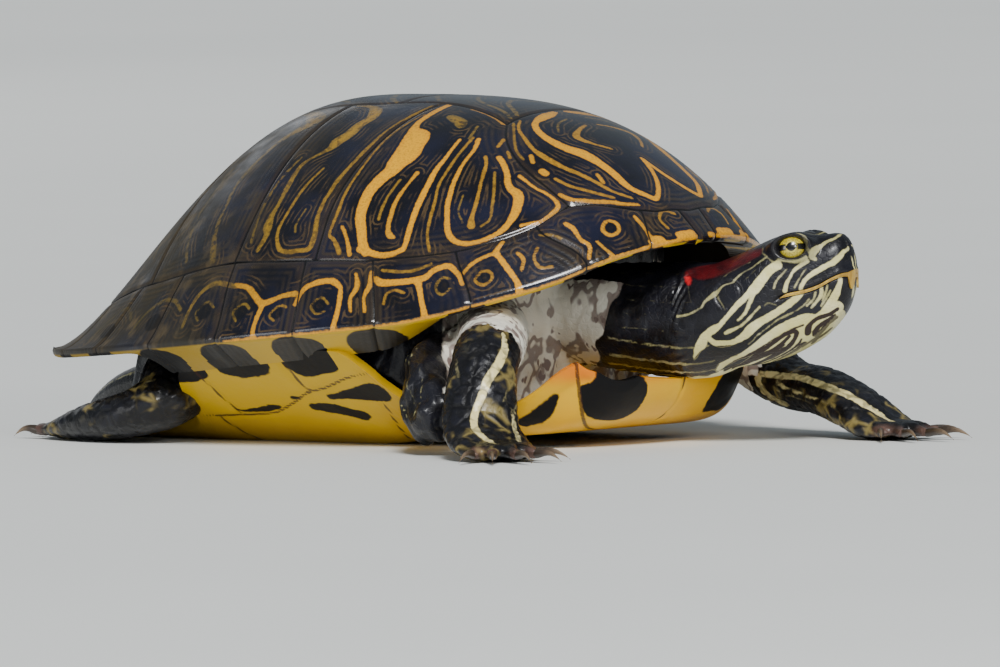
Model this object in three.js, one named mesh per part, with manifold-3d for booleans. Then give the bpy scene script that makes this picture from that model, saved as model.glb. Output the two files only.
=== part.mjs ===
// A life-size red-eared slider turtle, resting on its plastron and feet with its neck stretched out.
// Units are millimetres. +X is the way the shell points, +Y is the turtle's left and +Z is up.
// The floor is z = 0.
import * as THREE from "three";
import { mergeVertices } from "three/addons/utils/BufferGeometryUtils.js";
import Module from "manifold-3d";

const wasm = await Module();
wasm.setup();

// ---------- driving dimensions ----------
const GAP = 0.3; // clearance between neighbouring solids
const CLEARANCE = 3.2; // room between the body and the inside of the shell
const SHELL = { front: 118, rear: 122, half: 92, squareness: 2.2, top: 108.6, thick: 4 };
const RIM_X = [-122, -95, -60, -30, 0, 30, 62, 86, 100, 110, 118];
const RIM_Z = [27.5, 28.5, 31, 33.5, 36.3, 39.2, 43.2, 50, 55.5, 62, 66.5];
const DOME = { frontPower: 3.25, sidePower: 2.35, rearPower: 2.6, rearFlare: 1.9 };
const LIP = { inner: 0.88, drop: 2.6 }; // underside of the marginal scutes
const PLASTRON = { front: 108, rear: -110, thick: 4.5 };
const PLASTRON_X = [-110, -106, -90, -62, -45, -34, 34, 42, 52, 70, 90, 99, 104, 108];
const PLASTRON_HALF = [8, 30, 44, 49, 55, 79, 81, 66, 54, 52, 50, 45.5, 36, 16];
// The front lobe turns up all round its border, most at its corners.
const LOBE = { start: 50, length: 58, half: 50, front: 9.8, corner: 8, from: 62, run: 38 };
const BRIDGE = { start: 40, span: 42, seam: 4.6 }; // the bridge curves up to just under the rim

const materials = {
  carapace: new THREE.MeshStandardMaterial({ color: 0x1d1a14, roughness: 0.32, metalness: 0 }),
  plastron: new THREE.MeshStandardMaterial({ color: 0xe0a030, roughness: 0.35, metalness: 0 }),
  skin: new THREE.MeshStandardMaterial({ color: 0x23231c, roughness: 0.5, metalness: 0 }),
  beak: new THREE.MeshStandardMaterial({ color: 0xb08a3c, roughness: 0.4, metalness: 0 }),
  eye: new THREE.MeshStandardMaterial({ color: 0xb8a024, roughness: 0.08, metalness: 0 }),
  claw: new THREE.MeshStandardMaterial({ color: 0x4a3b2a, roughness: 0.35, metalness: 0 }),
};

// ---------- small helpers ----------
const vec = (x, y, z) => new THREE.Vector3(x, y, z);
const mix = (a, b, t) => a + (b - a) * t;
const clamp = (t) => Math.min(1, Math.max(0, t));
const ease = (t) => clamp(t) ** 2 * (3 - 2 * clamp(t));
const signedPower = (v, p) => Math.sign(v) * Math.abs(v) ** p;

// Smooth interpolation of a short list of stations with slopes taken from the neighbours.
function along(xs, ys, x) {
  const last = xs.length - 1;
  const at = Math.min(xs[last], Math.max(xs[0], x));
  let i = 0;
  while (i < last - 1 && at > xs[i + 1]) i += 1;
  const slope = (k) => (ys[Math.min(last, k + 1)] - ys[Math.max(0, k - 1)]) /
    (xs[Math.min(last, k + 1)] - xs[Math.max(0, k - 1)]);
  const h = xs[i + 1] - xs[i];
  const t = (at - xs[i]) / h;
  const keep = (2 * t ** 3 - 3 * t ** 2 + 1) * ys[i] + (3 * t ** 2 - 2 * t ** 3) * ys[i + 1];
  return keep + h * ((t ** 3 - 2 * t ** 2 + t) * slope(i) + (t ** 3 - t ** 2) * slope(i + 1));
}

// Closed surface through rings of equal length, with a fan at each end.
function loft(rings) {
  const sides = rings[0].length;
  const points = rings.flat();
  const middle = (ring) => ring.reduce((s, p) => s.add(p), vec(0, 0, 0)).divideScalar(sides);
  points.push(middle(rings[0]), middle(rings[rings.length - 1]));
  const index = [];
  for (let r = 0; r + 1 < rings.length; r += 1) {
    for (let s = 0; s < sides; s += 1) {
      const a = r * sides + s;
      const b = r * sides + ((s + 1) % sides);
      index.push(a, b, a + sides, b, b + sides, a + sides);
    }
  }
  const end = (rings.length - 1) * sides;
  for (let s = 0; s < sides; s += 1) {
    const next = (s + 1) % sides;
    index.push(points.length - 2, next, s);
    index.push(points.length - 1, end + s, end + next);
  }
  const geometry = new THREE.BufferGeometry().setFromPoints(points);
  geometry.setIndex(index);
  return geometry;
}

function solidOf(geometry) {
  const bare = geometry.clone();
  bare.deleteAttribute("normal");
  bare.deleteAttribute("uv");
  const merged = mergeVertices(bare, 1e-4);
  const made = new wasm.Manifold(new wasm.Mesh({
    numProp: 3,
    vertProperties: new Float32Array(merged.attributes.position.array),
    triVerts: new Uint32Array(merged.index.array),
  }));
  return made.volume() < 0 ? solidOf(flipped(merged)) : made;
}

function flipped(geometry) {
  const index = Array.from(geometry.index.array);
  for (let i = 0; i < index.length; i += 3) [index[i], index[i + 1]] = [index[i + 1], index[i]];
  return geometry.clone().setIndex(index);
}

function geometryOf(solid) {
  const mesh = solid.getMesh();
  const geometry = new THREE.BufferGeometry();
  geometry.setAttribute("position", new THREE.BufferAttribute(new Float32Array(mesh.vertProperties), 3));
  geometry.setIndex(new THREE.BufferAttribute(new Uint32Array(mesh.triVerts), 1));
  return geometry;
}

// The largest single body of a solid, so that a cut leaves no crumbs.
const largest = (solid) => solid.decompose().sort((a, b) => b.volume() - a.volume())[0];

// ---------- carapace ----------
function rimRadius(angle) {
  const c = Math.cos(angle);
  const reach = c > 0 ? SHELL.front : SHELL.rear;
  const half = SHELL.half * (1 - 0.035 * c);
  const n = SHELL.squareness;
  return (Math.abs(c / reach) ** n + Math.abs(Math.sin(angle) / half) ** n) ** (-1 / n);
}

// A point of the carapace's outer face: share is 0 over the middle and 1 on the rim.
function domePoint(share, angle) {
  const c = Math.cos(angle);
  const front = Math.max(0, c) ** 2;
  const rear = Math.max(0, -c) ** 2;
  const side = 1 - front - rear;
  const power = DOME.frontPower * front + DOME.sidePower * side + DOME.rearPower * rear;
  const flare = 1 + (DOME.rearFlare - 1) * rear;
  const r = rimRadius(angle);
  const rim = along(RIM_X, RIM_Z, r * c);
  const height = (1 - share ** power) ** flare;
  return vec(r * share * c, r * share * Math.sin(angle), rim + (SHELL.top - rim) * height);
}

// The same face moved inwards by a depth.
function innerPoint(share, angle, depth) {
  const p = domePoint(share, angle);
  const steep = share ** 2;
  const shrink = 1 - (depth * steep) / Math.max(1, Math.hypot(p.x, p.y));
  return vec(p.x * shrink, p.y * shrink, p.z - depth * (1 - 0.45 * steep));
}

const ringOf = (count, point) => Array.from({ length: count }, (_, k) => point((k / count) * Math.PI * 2));

function carapaceGeometry() {
  const sides = 48;
  const outer = [0.08, 0.23, 0.39, 0.54, 0.67, 0.78, 0.87, 0.94, 1];
  const rings = outer.map((s) => ringOf(sides, (a) => domePoint(s, a)));
  rings.push(ringOf(sides, (a) => domePoint(0.985, a).setZ(domePoint(1, a).z - LIP.drop)));
  rings.push(ringOf(sides, (a) => domePoint(LIP.inner, a).setZ(domePoint(1, a).z - LIP.drop + 1)));
  [0.78, 0.6, 0.4, 0.2].forEach((s) => rings.push(ringOf(sides, (a) => innerPoint(s, a, SHELL.thick))));
  return loft(rings);
}

// ---------- plastron ----------
const plastronHalf = (x) => along(PLASTRON_X, PLASTRON_HALF, x);

// Height of the plastron's lower face: flat under the middle, curved up at the sides and in front.
function plastronZ(x, y) {
  const lift = 0.07 * Math.max(0, x - 18) + 3 * ease((x - 80) / 40) + 3 * ease((-84 - x) / 30);
  const side = Math.max(0, Math.abs(y) - BRIDGE.start) / BRIDGE.span;
  const rim = ((Math.max(0, x - LOBE.start) / LOBE.length) ** 4 + (Math.abs(y) / LOBE.half) ** 4) ** 0.25;
  const edge = clamp((rim - 0.5) / 0.5);
  const height = LOBE.front + LOBE.corner * (y / LOBE.half) ** 2;
  const lobe = height * clamp((x - LOBE.from) / LOBE.run) ** 3 * edge ** 5;
  const climb = along(RIM_X, RIM_Z, x) - LIP.drop - BRIDGE.seam - lift;
  return lift + lobe + climb * side ** 1.35;
}

function plastronGeometry(grow) {
  const steps = 26;
  const across = 10;
  const rings = [];
  for (let i = 0; i <= steps; i += 1) {
    const share = i / steps - 0.08 * Math.sin((2 * Math.PI * i) / steps);
    const x = mix(PLASTRON.rear - grow, PLASTRON.front + grow, share);
    const half = plastronHalf(x) + grow;
    const lower = [];
    const upper = [];
    for (let j = 0; j <= across; j += 1) {
      const y = mix(-half, half, j / across);
      lower.push(vec(x, y, plastronZ(x, y) - grow));
      const taper = 1 - 0.45 * Math.abs((2 * j) / across - 1) ** 4;
      upper.push(vec(x, y, plastronZ(x, y) + PLASTRON.thick * taper + grow));
    }
    rings.push([...lower, ...upper.reverse()]);
  }
  return loft(rings);
}

// ---------- trunk: the body inside the shell, whose sides are the skin round the limbs ----------
function lobeRadius(angle) {
  let r = 20;
  while (r < 120 && Math.abs(r * Math.sin(angle)) < plastronHalf(r * Math.cos(angle)) - 3) r += 0.5;
  return Math.min(r, rimRadius(angle) * 0.8);
}

function trunkTopShare(angle) {
  const c = Math.cos(angle);
  const turned = angle > Math.PI ? angle - 2 * Math.PI : angle;
  const neckHollow = 0.2 * Math.exp(-((turned / 0.42) ** 2));
  const tailHollow = 0.1 * Math.exp(-(((angle - Math.PI) / 0.5) ** 2));
  return 0.83 - neckHollow - tailHollow - 0.02 * c * c;
}

function trunkGeometry(grow) {
  const sides = 36;
  const depth = SHELL.thick + CLEARANCE - grow;
  const topEdge = (a) => innerPoint(trunkTopShare(a), a, depth);
  const foot = (a) => {
    const c = Math.cos(a);
    const r = (lobeRadius(a) + grow) * (c > 0.6 ? mix(1, 0.72, ease((c - 0.6) / 0.4)) : 1);
    const x = r * c;
    const y = r * Math.sin(a);
    return vec(x, y, plastronZ(x, y) + PLASTRON.thick + CLEARANCE - grow);
  };
  const blend = (a, t) => topEdge(a).lerp(foot(a), t);
  const rings = [0.22, 0.46, 0.7, 0.88].map((s) =>
    ringOf(sides, (a) => innerPoint(trunkTopShare(a) * s, a, depth)));
  [0, 0.33, 0.66, 1].forEach((t) => rings.push(ringOf(sides, (a) => blend(a, t))));
  [0.7, 0.4, 0.1].forEach((s) => rings.push(ringOf(sides, (a) => {
    const p = foot(a);
    return vec(p.x * s, p.y * s, plastronZ(p.x * s, p.y * s) + PLASTRON.thick + CLEARANCE - grow);
  })));
  return loft(rings);
}

// ---------- limbs, neck and tail: tubes with oval sections ----------
// A station is [x, y, z, half width across, half height], and steps is how many rings follow each one.
function tubeRings(stations, sides, steps) {
  const curve = new THREE.CatmullRomCurve3(stations.map((s) => vec(s[0], s[1], s[2])), false, "centripetal");
  const last = stations.length - 1;
  const ids = stations.map((_, i) => i);
  const wide = stations.map((s) => s[3]);
  const high = stations.map((s) => s[4]);
  const rings = [];
  const up = vec(0, 0, 1);
  const count = last * steps;
  for (let k = 0; k <= count; k += 1) {
    const at = k / steps;
    const t = at / last;
    const centre = curve.getPoint(t);
    const way = curve.getTangent(t).normalize();
    const across = up.clone().cross(way).normalize();
    const rise = way.clone().cross(across).normalize();
    rings.push(ringOf(sides, (a) => centre.clone()
      .addScaledVector(across, Math.cos(a) * along(ids, wide, at))
      .addScaledVector(rise, Math.sin(a) * along(ids, high, at))));
  }
  return rings;
}

const tube = (...args) => solidOf(loft(tubeRings(...args)));

// A block filling the half of space ahead of a point in a given direction.
function halfSpace(point, way) {
  const size = 600;
  const direction = way.clone().normalize();
  const turn = new THREE.Quaternion().setFromUnitVectors(vec(1, 0, 0), direction);
  const middle = point.clone().addScaledVector(direction, size / 2);
  const block = new THREE.BoxGeometry(size, size, size).applyQuaternion(turn);
  return solidOf(block.translate(...middle.toArray()));
}

// Cuts a long solid into pieces at planes, leaving the clearance between neighbours.
function sliced(solid, cuts) {
  return [...cuts, null].map((cut, i) => {
    let piece = solid;
    if (cut) piece = piece.subtract(halfSpace(cut.at.clone().addScaledVector(cut.way, -GAP / 2), cut.way));
    const before = cuts[i - 1];
    if (before) {
      const back = before.way.clone().negate();
      piece = piece.subtract(halfSpace(before.at.clone().addScaledVector(back, -GAP / 2), back));
    }
    return largest(piece);
  });
}

// ---------- head ----------
const HEAD = {
  base: vec(107, 5, 0),
  yaw: THREE.MathUtils.degToRad(20),
  // distance forward, top, bottom, half width
  stations: [
    [0, 55, 24, 16.5], [10, 57.8, 23.7, 17.6], [20, 62.6, 24.2, 18], [28, 66.2, 25.4, 17],
    [35, 67.6, 28, 14.6], [41, 66.6, 31, 12], [47, 67, 35.5, 9.8], [51.5, 66, 40.5, 8], [54, 62, 45.5, 5.6],
  ],
  mouth: vec(33, 0, 46.6),
  mouthRise: 0.17,
  joint: 25,
};
const EYE = { radius: 5.2, forward: 36.4, side: 8.7, height: 62.2 };
const forward = vec(Math.cos(HEAD.yaw), Math.sin(HEAD.yaw), 0);
const leftward = vec(-Math.sin(HEAD.yaw), Math.cos(HEAD.yaw), 0);
function inHead(d, v, z) {
  return HEAD.base.clone().addScaledVector(forward, d).addScaledVector(leftward, v).setZ(z);
}

function headSolid() {
  const ds = HEAD.stations.map((s) => s[0]);
  const column = (k) => HEAD.stations.map((s) => s[k]);
  const count = 13;
  const rings = Array.from({ length: count + 1 }, (_, k) => {
    const d = 54 * (1 - (1 - k / count) ** 1.25);
    const top = along(ds, column(1), d);
    const bottom = along(ds, column(2), d);
    const half = along(ds, column(3), d);
    return ringOf(18, (a) => {
      const across = signedPower(Math.cos(a), 0.85) * half;
      const rise = signedPower(Math.sin(a), 0.85);
      return inHead(d, across, mix(bottom, top, (rise + 1) / 2));
    });
  });
  return solidOf(loft(rings));
}

// The space taken by the lower jaw, opened or closed by a clearance.
function jawZone(clearance) {
  const down = leftward.clone().cross(forward.clone().setZ(HEAD.mouthRise)).normalize();
  const lower = down.z < 0 ? down : down.negate();
  const mouth = inHead(HEAD.mouth.x, 0, HEAD.mouth.z).addScaledVector(lower, -clearance);
  const hinge = inHead(HEAD.joint - clearance, 0, HEAD.mouth.z);
  return halfSpace(mouth, lower).intersect(halfSpace(hinge, forward.clone().setZ(-0.5)));
}

const eyeBall = (side, radius) => {
  const centre = inHead(EYE.forward, side * EYE.side, EYE.height);
  return solidOf(new THREE.SphereGeometry(radius, 12, 8).translate(...centre.toArray()));
};

// ---------- limbs ----------
// Each station is [x, y, z, half width across, half height].
const LIMBS = {
  forelimb_right: {
    stations: [
      [64, -42, 37, 12, 12], [80, -63, 33.5, 11.5, 11], [90, -79, 30, 11, 10.5], [95, -88, 19, 12, 9.5],
      [100, -94, 8.6, 13, 7], [108, -99, 4.4, 14, 5], [116, -103, 2.6, 12, 3.4],
    ],
    cuts: [2, 4], pieces: ["upper_arm_right", "forearm_right", "forefoot_right"],
    fold: [[60, -52, 30, 9, 9], [60, -66, 24, 8, 13], [66, -80, 17, 7, 13], [78, -88, 12, 7, 9]],
    heading: -28, toes: [-46, -24, -3, 18, 40], reach: [17, 21, 23, 21, 16], toeRadius: 2.9, clawLength: 11,
  },
  forelimb_left: {
    stations: [
      [64, 42, 38, 12, 12], [84, 57, 28, 12, 11], [104, 59, 16.5, 11.5, 8.4], [121, 56, 14, 11, 8],
      [137, 52, 9, 12, 7], [147, 50, 4.4, 13.5, 5], [154, 48.5, 2.6, 12, 3.4],
    ],
    cuts: [2, 4], pieces: ["upper_arm_left", "forearm_left", "forefoot_left"],
    heading: -12, toes: [-40, -19, 2, 24, 46], reach: [16, 21, 23, 21, 17], toeRadius: 2.9, clawLength: 11,
  },
  hindlimb_right: {
    stations: [
      [-58, -38, 28, 14, 12], [-51, -55, 20, 13.5, 11], [-48, -67, 14, 12, 10], [-58, -71, 9.5, 11, 8],
      [-71, -69, 7, 11, 7], [-82, -63, 4.8, 13, 5.8], [-92, -57, 2.8, 13.5, 3.6],
    ],
    cuts: [2, 4], pieces: ["thigh_right", "shank_right", "hindfoot_right"],
    heading: 158, toes: [-32, -11, 10, 31], reach: [18, 21, 22, 20], toeRadius: 3, clawLength: 8,
  },
  hindlimb_left: {
    stations: [
      [-58, 38, 28, 14, 12], [-52, 56, 20, 13.5, 11], [-50, 69, 14, 12, 10], [-61, 75, 9.5, 11, 8],
      [-75, 76, 7, 11, 7], [-87, 73, 4.8, 13, 5.8], [-97, 70, 2.8, 13.5, 3.6],
    ],
    cuts: [2, 4], pieces: ["thigh_left", "shank_left", "hindfoot_left"],
    heading: 196, toes: [-32, -10, 12, 34], reach: [19, 22, 21, 18], toeRadius: 3, clawLength: 8,
  },
};

// Toes fan out from the middle of the foot; each ends in a claw that curves down to the floor.
function toeRay(limb, k, distance) {
  const palm = limb.stations[5];
  const angle = THREE.MathUtils.degToRad(limb.heading + limb.toes[k]);
  return vec(palm[0] + Math.cos(angle) * distance, palm[1] + Math.sin(angle) * distance, 0);
}

function toeSolid(limb, k) {
  const reach = limb.reach[k];
  const at = (share, z, r) => [...toeRay(limb, k, reach * share).setZ(z).toArray(), r, r];
  const r = limb.toeRadius;
  return tube([at(0.1, 4, r), at(0.55, 3.6, r), at(1, 2.6, r * 0.8)], 6, 1);
}

function clawSolid(limb, k) {
  const reach = limb.reach[k];
  const base = limb.toeRadius * 0.62;
  const at = (step, z, r) => [...toeRay(limb, k, reach + step).setZ(z).toArray(), r, r];
  const long = limb.clawLength;
  return tube([at(GAP, 2.9, base), at(long * 0.5, 3, base * 0.72), at(long, 1, 0.35)], 6, 1);
}

function limbSolid(limb) {
  const toes = limb.toes.map((_, k) => toeSolid(limb, k));
  if (limb.fold) toes.push(tube(limb.fold, 10, 1)); // loose skin behind the elbow
  const whole = toes.reduce((sum, toe) => sum.add(toe), tube(limb.stations, 12, 2));
  return whole.subtract(halfSpace(vec(0, 0, 0), vec(0, 0, -1)));
}

function cutPlane(limb, i) {
  const point = (k) => vec(...limb.stations[k].slice(0, 3));
  return { at: point(i), way: point(i + 1).sub(point(i - 1)).normalize() };
}

// ---------- assembly ----------
const turtle = new THREE.Group();
turtle.name = "red_eared_slider";

function place(name, solid, material) {
  const mesh = new THREE.Mesh(geometryOf(solid), material.clone());
  mesh.name = name;
  turtle.add(mesh);
}

const carapace = solidOf(carapaceGeometry());
const plastron = solidOf(plastronGeometry(0));
const trunk = solidOf(trunkGeometry(0));
const trunkGrown = solidOf(trunkGeometry(GAP));
const plastronGrown = solidOf(plastronGeometry(4 * GAP));

place("carapace", carapace, materials.carapace);
place("plastron", plastron, materials.plastron);

const wholeHead = headSolid();
const sockets = eyeBall(1, EYE.radius + GAP).add(eyeBall(-1, EYE.radius + GAP));
place("head", largest(wholeHead.subtract(jawZone(GAP / 2)).subtract(sockets)), materials.skin);
place("lower_jaw", largest(wholeHead.intersect(jawZone(-GAP / 2))), materials.beak);
place("eye_left", eyeBall(1, EYE.radius), materials.eye);
place("eye_right", eyeBall(-1, EYE.radius), materials.eye);

const neckTube = tube([
  [52, -3, 43, 15, 14], [78, -1, 40.2, 16.5, 16.8], [107, 5, 38.9, 17.2, 19], [121, 10.1, 40.2, 17, 18.8],
], 16, 2);
const neckRoom = tube([
  [46, -3, 43, 15.5, 14.5], [52, -3, 43, 15.5, 14.5], [78, -1, 40.2, 17, 17.3], [112, 6, 39.2, 17.7, 19.6],
], 16, 2);
const neck = neckTube.subtract(halfSpace(inHead(-GAP, 0, 40), forward)).subtract(plastronGrown);
place("neck", largest(neck), materials.skin);

const tailTube = tube([
  [-78, 0, 19, 9, 8], [-100, 1, 16.4, 8.2, 7], [-120, 5, 13, 6, 5.4], [-136, 11, 7.6, 3.8, 3.6],
  [-147, 17, 3.4, 1.6, 1.6],
], 10, 2);
place("tail", largest(tailTube.subtract(trunkGrown)), materials.skin);
place("trunk", largest(trunk.subtract(neckRoom)), materials.skin);

for (const [name, limb] of Object.entries(LIMBS)) {
  const outside = largest(limbSolid(limb).subtract(trunkGrown).subtract(plastronGrown));
  const pieces = sliced(outside, limb.cuts.map((i) => cutPlane(limb, i)));
  pieces.forEach((piece, i) => place(limb.pieces[i], piece, materials.skin));
  limb.toes.forEach((_, k) => {
    place(`${name}_claw_${k + 1}`, clawSolid(limb, k).subtract(outside), materials.claw);
  });
}

const box = new THREE.Box3().setFromObject(turtle);
const middle = box.getCenter(vec(0, 0, 0));
turtle.children.forEach((mesh) => mesh.geometry.translate(-middle.x, -middle.y, -box.min.z));

export default turtle;
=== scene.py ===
# %% [markdown]
# # A red-eared slider at rest
# A slider is a pond turtle. Its shell is bone covered by horny plates, called scutes, and its skin is
# dark with pale stripes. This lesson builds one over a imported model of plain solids: the shell from
# separate scutes, one skin for all the flesh, and the horn, eyes and claws as pieces of their own.
# The solids are loaded first, because every size and place below is worked out from them.

# %% Load the solids
import math
import bpy
import numpy as np
from mathutils import Matrix, Vector, noise
from numpy.linalg import norm


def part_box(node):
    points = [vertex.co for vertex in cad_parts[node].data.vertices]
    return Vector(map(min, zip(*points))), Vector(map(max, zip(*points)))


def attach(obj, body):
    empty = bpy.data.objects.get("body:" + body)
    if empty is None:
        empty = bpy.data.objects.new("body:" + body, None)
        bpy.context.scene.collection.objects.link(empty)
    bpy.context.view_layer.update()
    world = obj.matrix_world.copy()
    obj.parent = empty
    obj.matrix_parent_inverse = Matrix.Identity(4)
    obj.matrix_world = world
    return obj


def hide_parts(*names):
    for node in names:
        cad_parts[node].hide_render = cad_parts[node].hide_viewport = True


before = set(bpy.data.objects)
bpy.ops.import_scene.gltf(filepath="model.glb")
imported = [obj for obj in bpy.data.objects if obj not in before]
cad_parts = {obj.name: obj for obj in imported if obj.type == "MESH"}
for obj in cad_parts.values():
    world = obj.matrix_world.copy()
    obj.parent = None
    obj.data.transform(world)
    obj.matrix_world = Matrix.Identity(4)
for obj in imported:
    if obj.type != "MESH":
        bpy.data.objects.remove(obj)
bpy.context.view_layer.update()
bpy.ops.object.select_all(action="DESELECT")
MM = 0.001

# %% [markdown]
# The shell's own middle is the natural zero for every outline. The carapace solid runs from 122 mm
# behind that middle to 118 mm ahead of it, so its box gives the middle's place in the frame.

# %% Where the shell's middle lies
low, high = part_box("carapace")
MIDDLE = np.array([low[0] / MM + 122, (low[1] + high[1]) / 2 / MM, 0.0])


def to_frame(points):
    """Points in millimetres from the shell's middle, as metres in the frame."""
    return (np.asarray(points, float) + MIDDLE) * MM


print("shell middle in the frame, mm:", MIDDLE.round(2))

# %% [markdown]
# A still animal is looked at from low down and a little in front of its side. A long lens far away
# keeps the near foot and the far one in proportion, as a wildlife lens does.

# %% Camera
VIEW_AZIMUTH, VIEW_ELEVATION = math.radians(38), math.radians(3)
VIEW_ROLL = math.atan(0.0127)
VIEW_DISTANCE = 9.0
VIEW_WIDTH = 0.3175
TARGET_ACROSS, TARGET_HEIGHT = 27.0, 32.2

level = math.cos(VIEW_ELEVATION)
toward_camera = Vector((math.sin(VIEW_AZIMUTH) * level, -math.cos(VIEW_AZIMUTH) * level,
                        math.sin(VIEW_ELEVATION)))
across_view = Vector((math.cos(VIEW_AZIMUTH), math.sin(VIEW_AZIMUTH), 0))
target = Vector(to_frame([0, 0, TARGET_HEIGHT])) + across_view * TARGET_ACROSS * MM
bpy.ops.object.camera_add(location=target + toward_camera * VIEW_DISTANCE)
camera = bpy.context.object
camera.name = "camera"
turned = toward_camera.to_track_quat("Z", "Y").to_matrix()
camera.rotation_euler = (turned @ Matrix.Rotation(-VIEW_ROLL, 3, "Z")).to_euler()
camera.data.sensor_width = 36
camera.data.lens = 36 * VIEW_DISTANCE / VIEW_WIDTH
camera.data.clip_end = 60
bpy.context.scene.camera = camera
print("lens:", round(camera.data.lens), "mm, camera height:", round(camera.location.z, 3), "m")

# %% [markdown]
# ## Shader sums written as Python
# A material is a web of nodes, and long sums are hard to read as a web. This small class wraps one
# socket, so that `a * 2 + b` adds the Math nodes for that sum. Every other node comes from `node`.

# %% Expressions on sockets
class Sum:
    def __init__(self, tree, socket):
        self.tree, self.socket = tree, socket

    def math(self, operation, *others):
        return node(self.tree, "ShaderNodeMath", {"operation": operation}, dict(enumerate((self, *others))))

    def __add__(self, other):
        return self.math("ADD", other)

    def __sub__(self, other):
        return self.math("SUBTRACT", other)

    def __mul__(self, other):
        return self.math("MULTIPLY", other)

    def __rsub__(self, other):
        return node(self.tree, "ShaderNodeMath", {"operation": "SUBTRACT"}, {0: other, 1: self})

    __radd__ = __add__
    __rmul__ = __mul__

    def above(self, other):
        return self.math("MAXIMUM", other)

    def clamp(self):
        return node(self.tree, "ShaderNodeClamp", {}, {0: self})

    def step(self, start, stop):
        """Smoothly from 0 at start to 1 at stop."""
        smooth = {"interpolation_type": "SMOOTHSTEP"}
        return node(self.tree, "ShaderNodeMapRange", smooth, {0: self, 1: start, 2: stop})


def node(tree, kind, settings, inputs, out=0):
    """Add a node, set it up, and fill its inputs with values or links; returns one output."""
    made = tree.nodes.new(kind)
    for key, value in settings.items():
        setattr(made, key, value)
    for key, value in inputs.items():
        if isinstance(value, Sum):
            tree.links.new(value.socket, made.inputs[key])
        else:
            made.inputs[key].default_value = value
    return Sum(tree, made.outputs[out])


print("sums know + - *, above, clamp and step")

# %% Finishes
class Finish:
    """A new material with a Principled shader and the sources that its pattern reads."""

    def __init__(self, name, **uniform):
        self.material = bpy.data.materials.new(name)
        self.material.use_nodes = True
        self.tree = self.material.node_tree
        self.shader = self.tree.nodes["Principled BSDF"]
        for key, value in uniform.items():
            self.shader.inputs[key.replace("_", " ")].default_value = value
        self.place = Sum(self.tree, self.tree.nodes.new("ShaderNodeTexCoord").outputs["Object"])

    def scaled(self, x, y, z):
        stretch = {"operation": "MULTIPLY"}
        return node(self.tree, "ShaderNodeVectorMath", stretch, {0: self.place, 1: (x, y, z)})

    def axis(self, k):
        return node(self.tree, "ShaderNodeSeparateXYZ", {}, {0: self.place}, out=k)

    def noise(self, scale, detail=3, where=None):
        inputs = {"Vector": where or self.place, "Scale": scale, "Detail": detail, "Roughness": 0.55}
        return node(self.tree, "ShaderNodeTexNoise", {}, inputs)

    def cell_border(self, scale, randomness):
        """Distance to the nearest border between rounded cells."""
        inputs = {"Vector": self.place, "Scale": scale, "Randomness": randomness}
        return node(self.tree, "ShaderNodeTexVoronoi", {"feature": "DISTANCE_TO_EDGE"}, inputs)

    def attribute(self, name):
        return node(self.tree, "ShaderNodeAttribute", {"attribute_name": name}, {}, out=2)

    def blend(self, share, first, second):
        """Mix two colours by a share from 0 to 1."""
        first, second = ((*one, 1) if isinstance(one, tuple) else one for one in (first, second))
        inputs = {0: share, 6: first, 7: second}
        return node(self.tree, "ShaderNodeMix", {"data_type": "RGBA"}, inputs, out=2)

    def wear(self, colour, roughness, height=None, depth=0.0002, strength=1.0, coat=None):
        """Connect what varies over the surface; height is in steps of the given depth."""
        for socket, value in (("Base Color", colour), ("Roughness", roughness), ("Coat Weight", coat)):
            if value:
                self.tree.links.new(value.socket, self.shader.inputs[socket])
        if height:
            inputs = {"Strength": strength, "Distance": depth, "Height": height}
            bumped = node(self.tree, "ShaderNodeBump", {}, inputs)
            self.tree.links.new(bumped.socket, self.shader.inputs["Normal"])
        return self.material


print("shader helpers ready")

# %% [markdown]
# ## The shell's surface
# The carapace is a low dome over an egg-shaped plan. Its rim isn't level: it rises towards the neck and
# the forelimbs. The same formula shaped the solid, so plates laid on it keep the true outline. `share`
# is 0 over the middle and 1 on the rim, and `angle` turns from the front towards the left.

# %% Dome formula
SHELL_FRONT, SHELL_REAR, SHELL_HALF, SQUARENESS, SHELL_TOP = 118.0, 122.0, 92.0, 2.2, 108.6
RIM_X = [-122, -95, -60, -30, 0, 30, 62, 86, 100, 110, 118]
RIM_Z = [27.5, 28.5, 31, 33.5, 36.3, 39.2, 43.2, 50, 55.5, 62, 66.5]


def along(xs, ys, x):
    """Smooth interpolation through a few stations, with slopes taken from the neighbours."""
    xs, ys = np.asarray(xs, float), np.asarray(ys, float)
    last = len(xs) - 1
    x = np.clip(np.asarray(x, float), xs[0], xs[-1])
    i = np.clip(np.searchsorted(xs, x) - 1, 0, last - 1)

    def slope(k):
        after, before = np.clip(k + 1, 0, last), np.clip(k - 1, 0, last)
        return (ys[after] - ys[before]) / (xs[after] - xs[before])

    h = xs[i + 1] - xs[i]
    t = (x - xs[i]) / h
    keep = (2 * t**3 - 3 * t**2 + 1) * ys[i] + (3 * t**2 - 2 * t**3) * ys[i + 1]
    return keep + h * ((t**3 - 2 * t**2 + t) * slope(i) + (t**3 - t**2) * slope(i + 1))


def ease(t):
    t = np.clip(t, 0, 1)
    return t * t * (3 - 2 * t)


def rim_radius(angle):
    c = np.cos(angle)
    reach = np.where(c > 0, SHELL_FRONT, SHELL_REAR)
    half = SHELL_HALF * (1 - 0.035 * c)
    return (np.abs(c / reach) ** SQUARENESS + np.abs(np.sin(angle) / half) ** SQUARENESS) ** (-1 / SQUARENESS)


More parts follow.
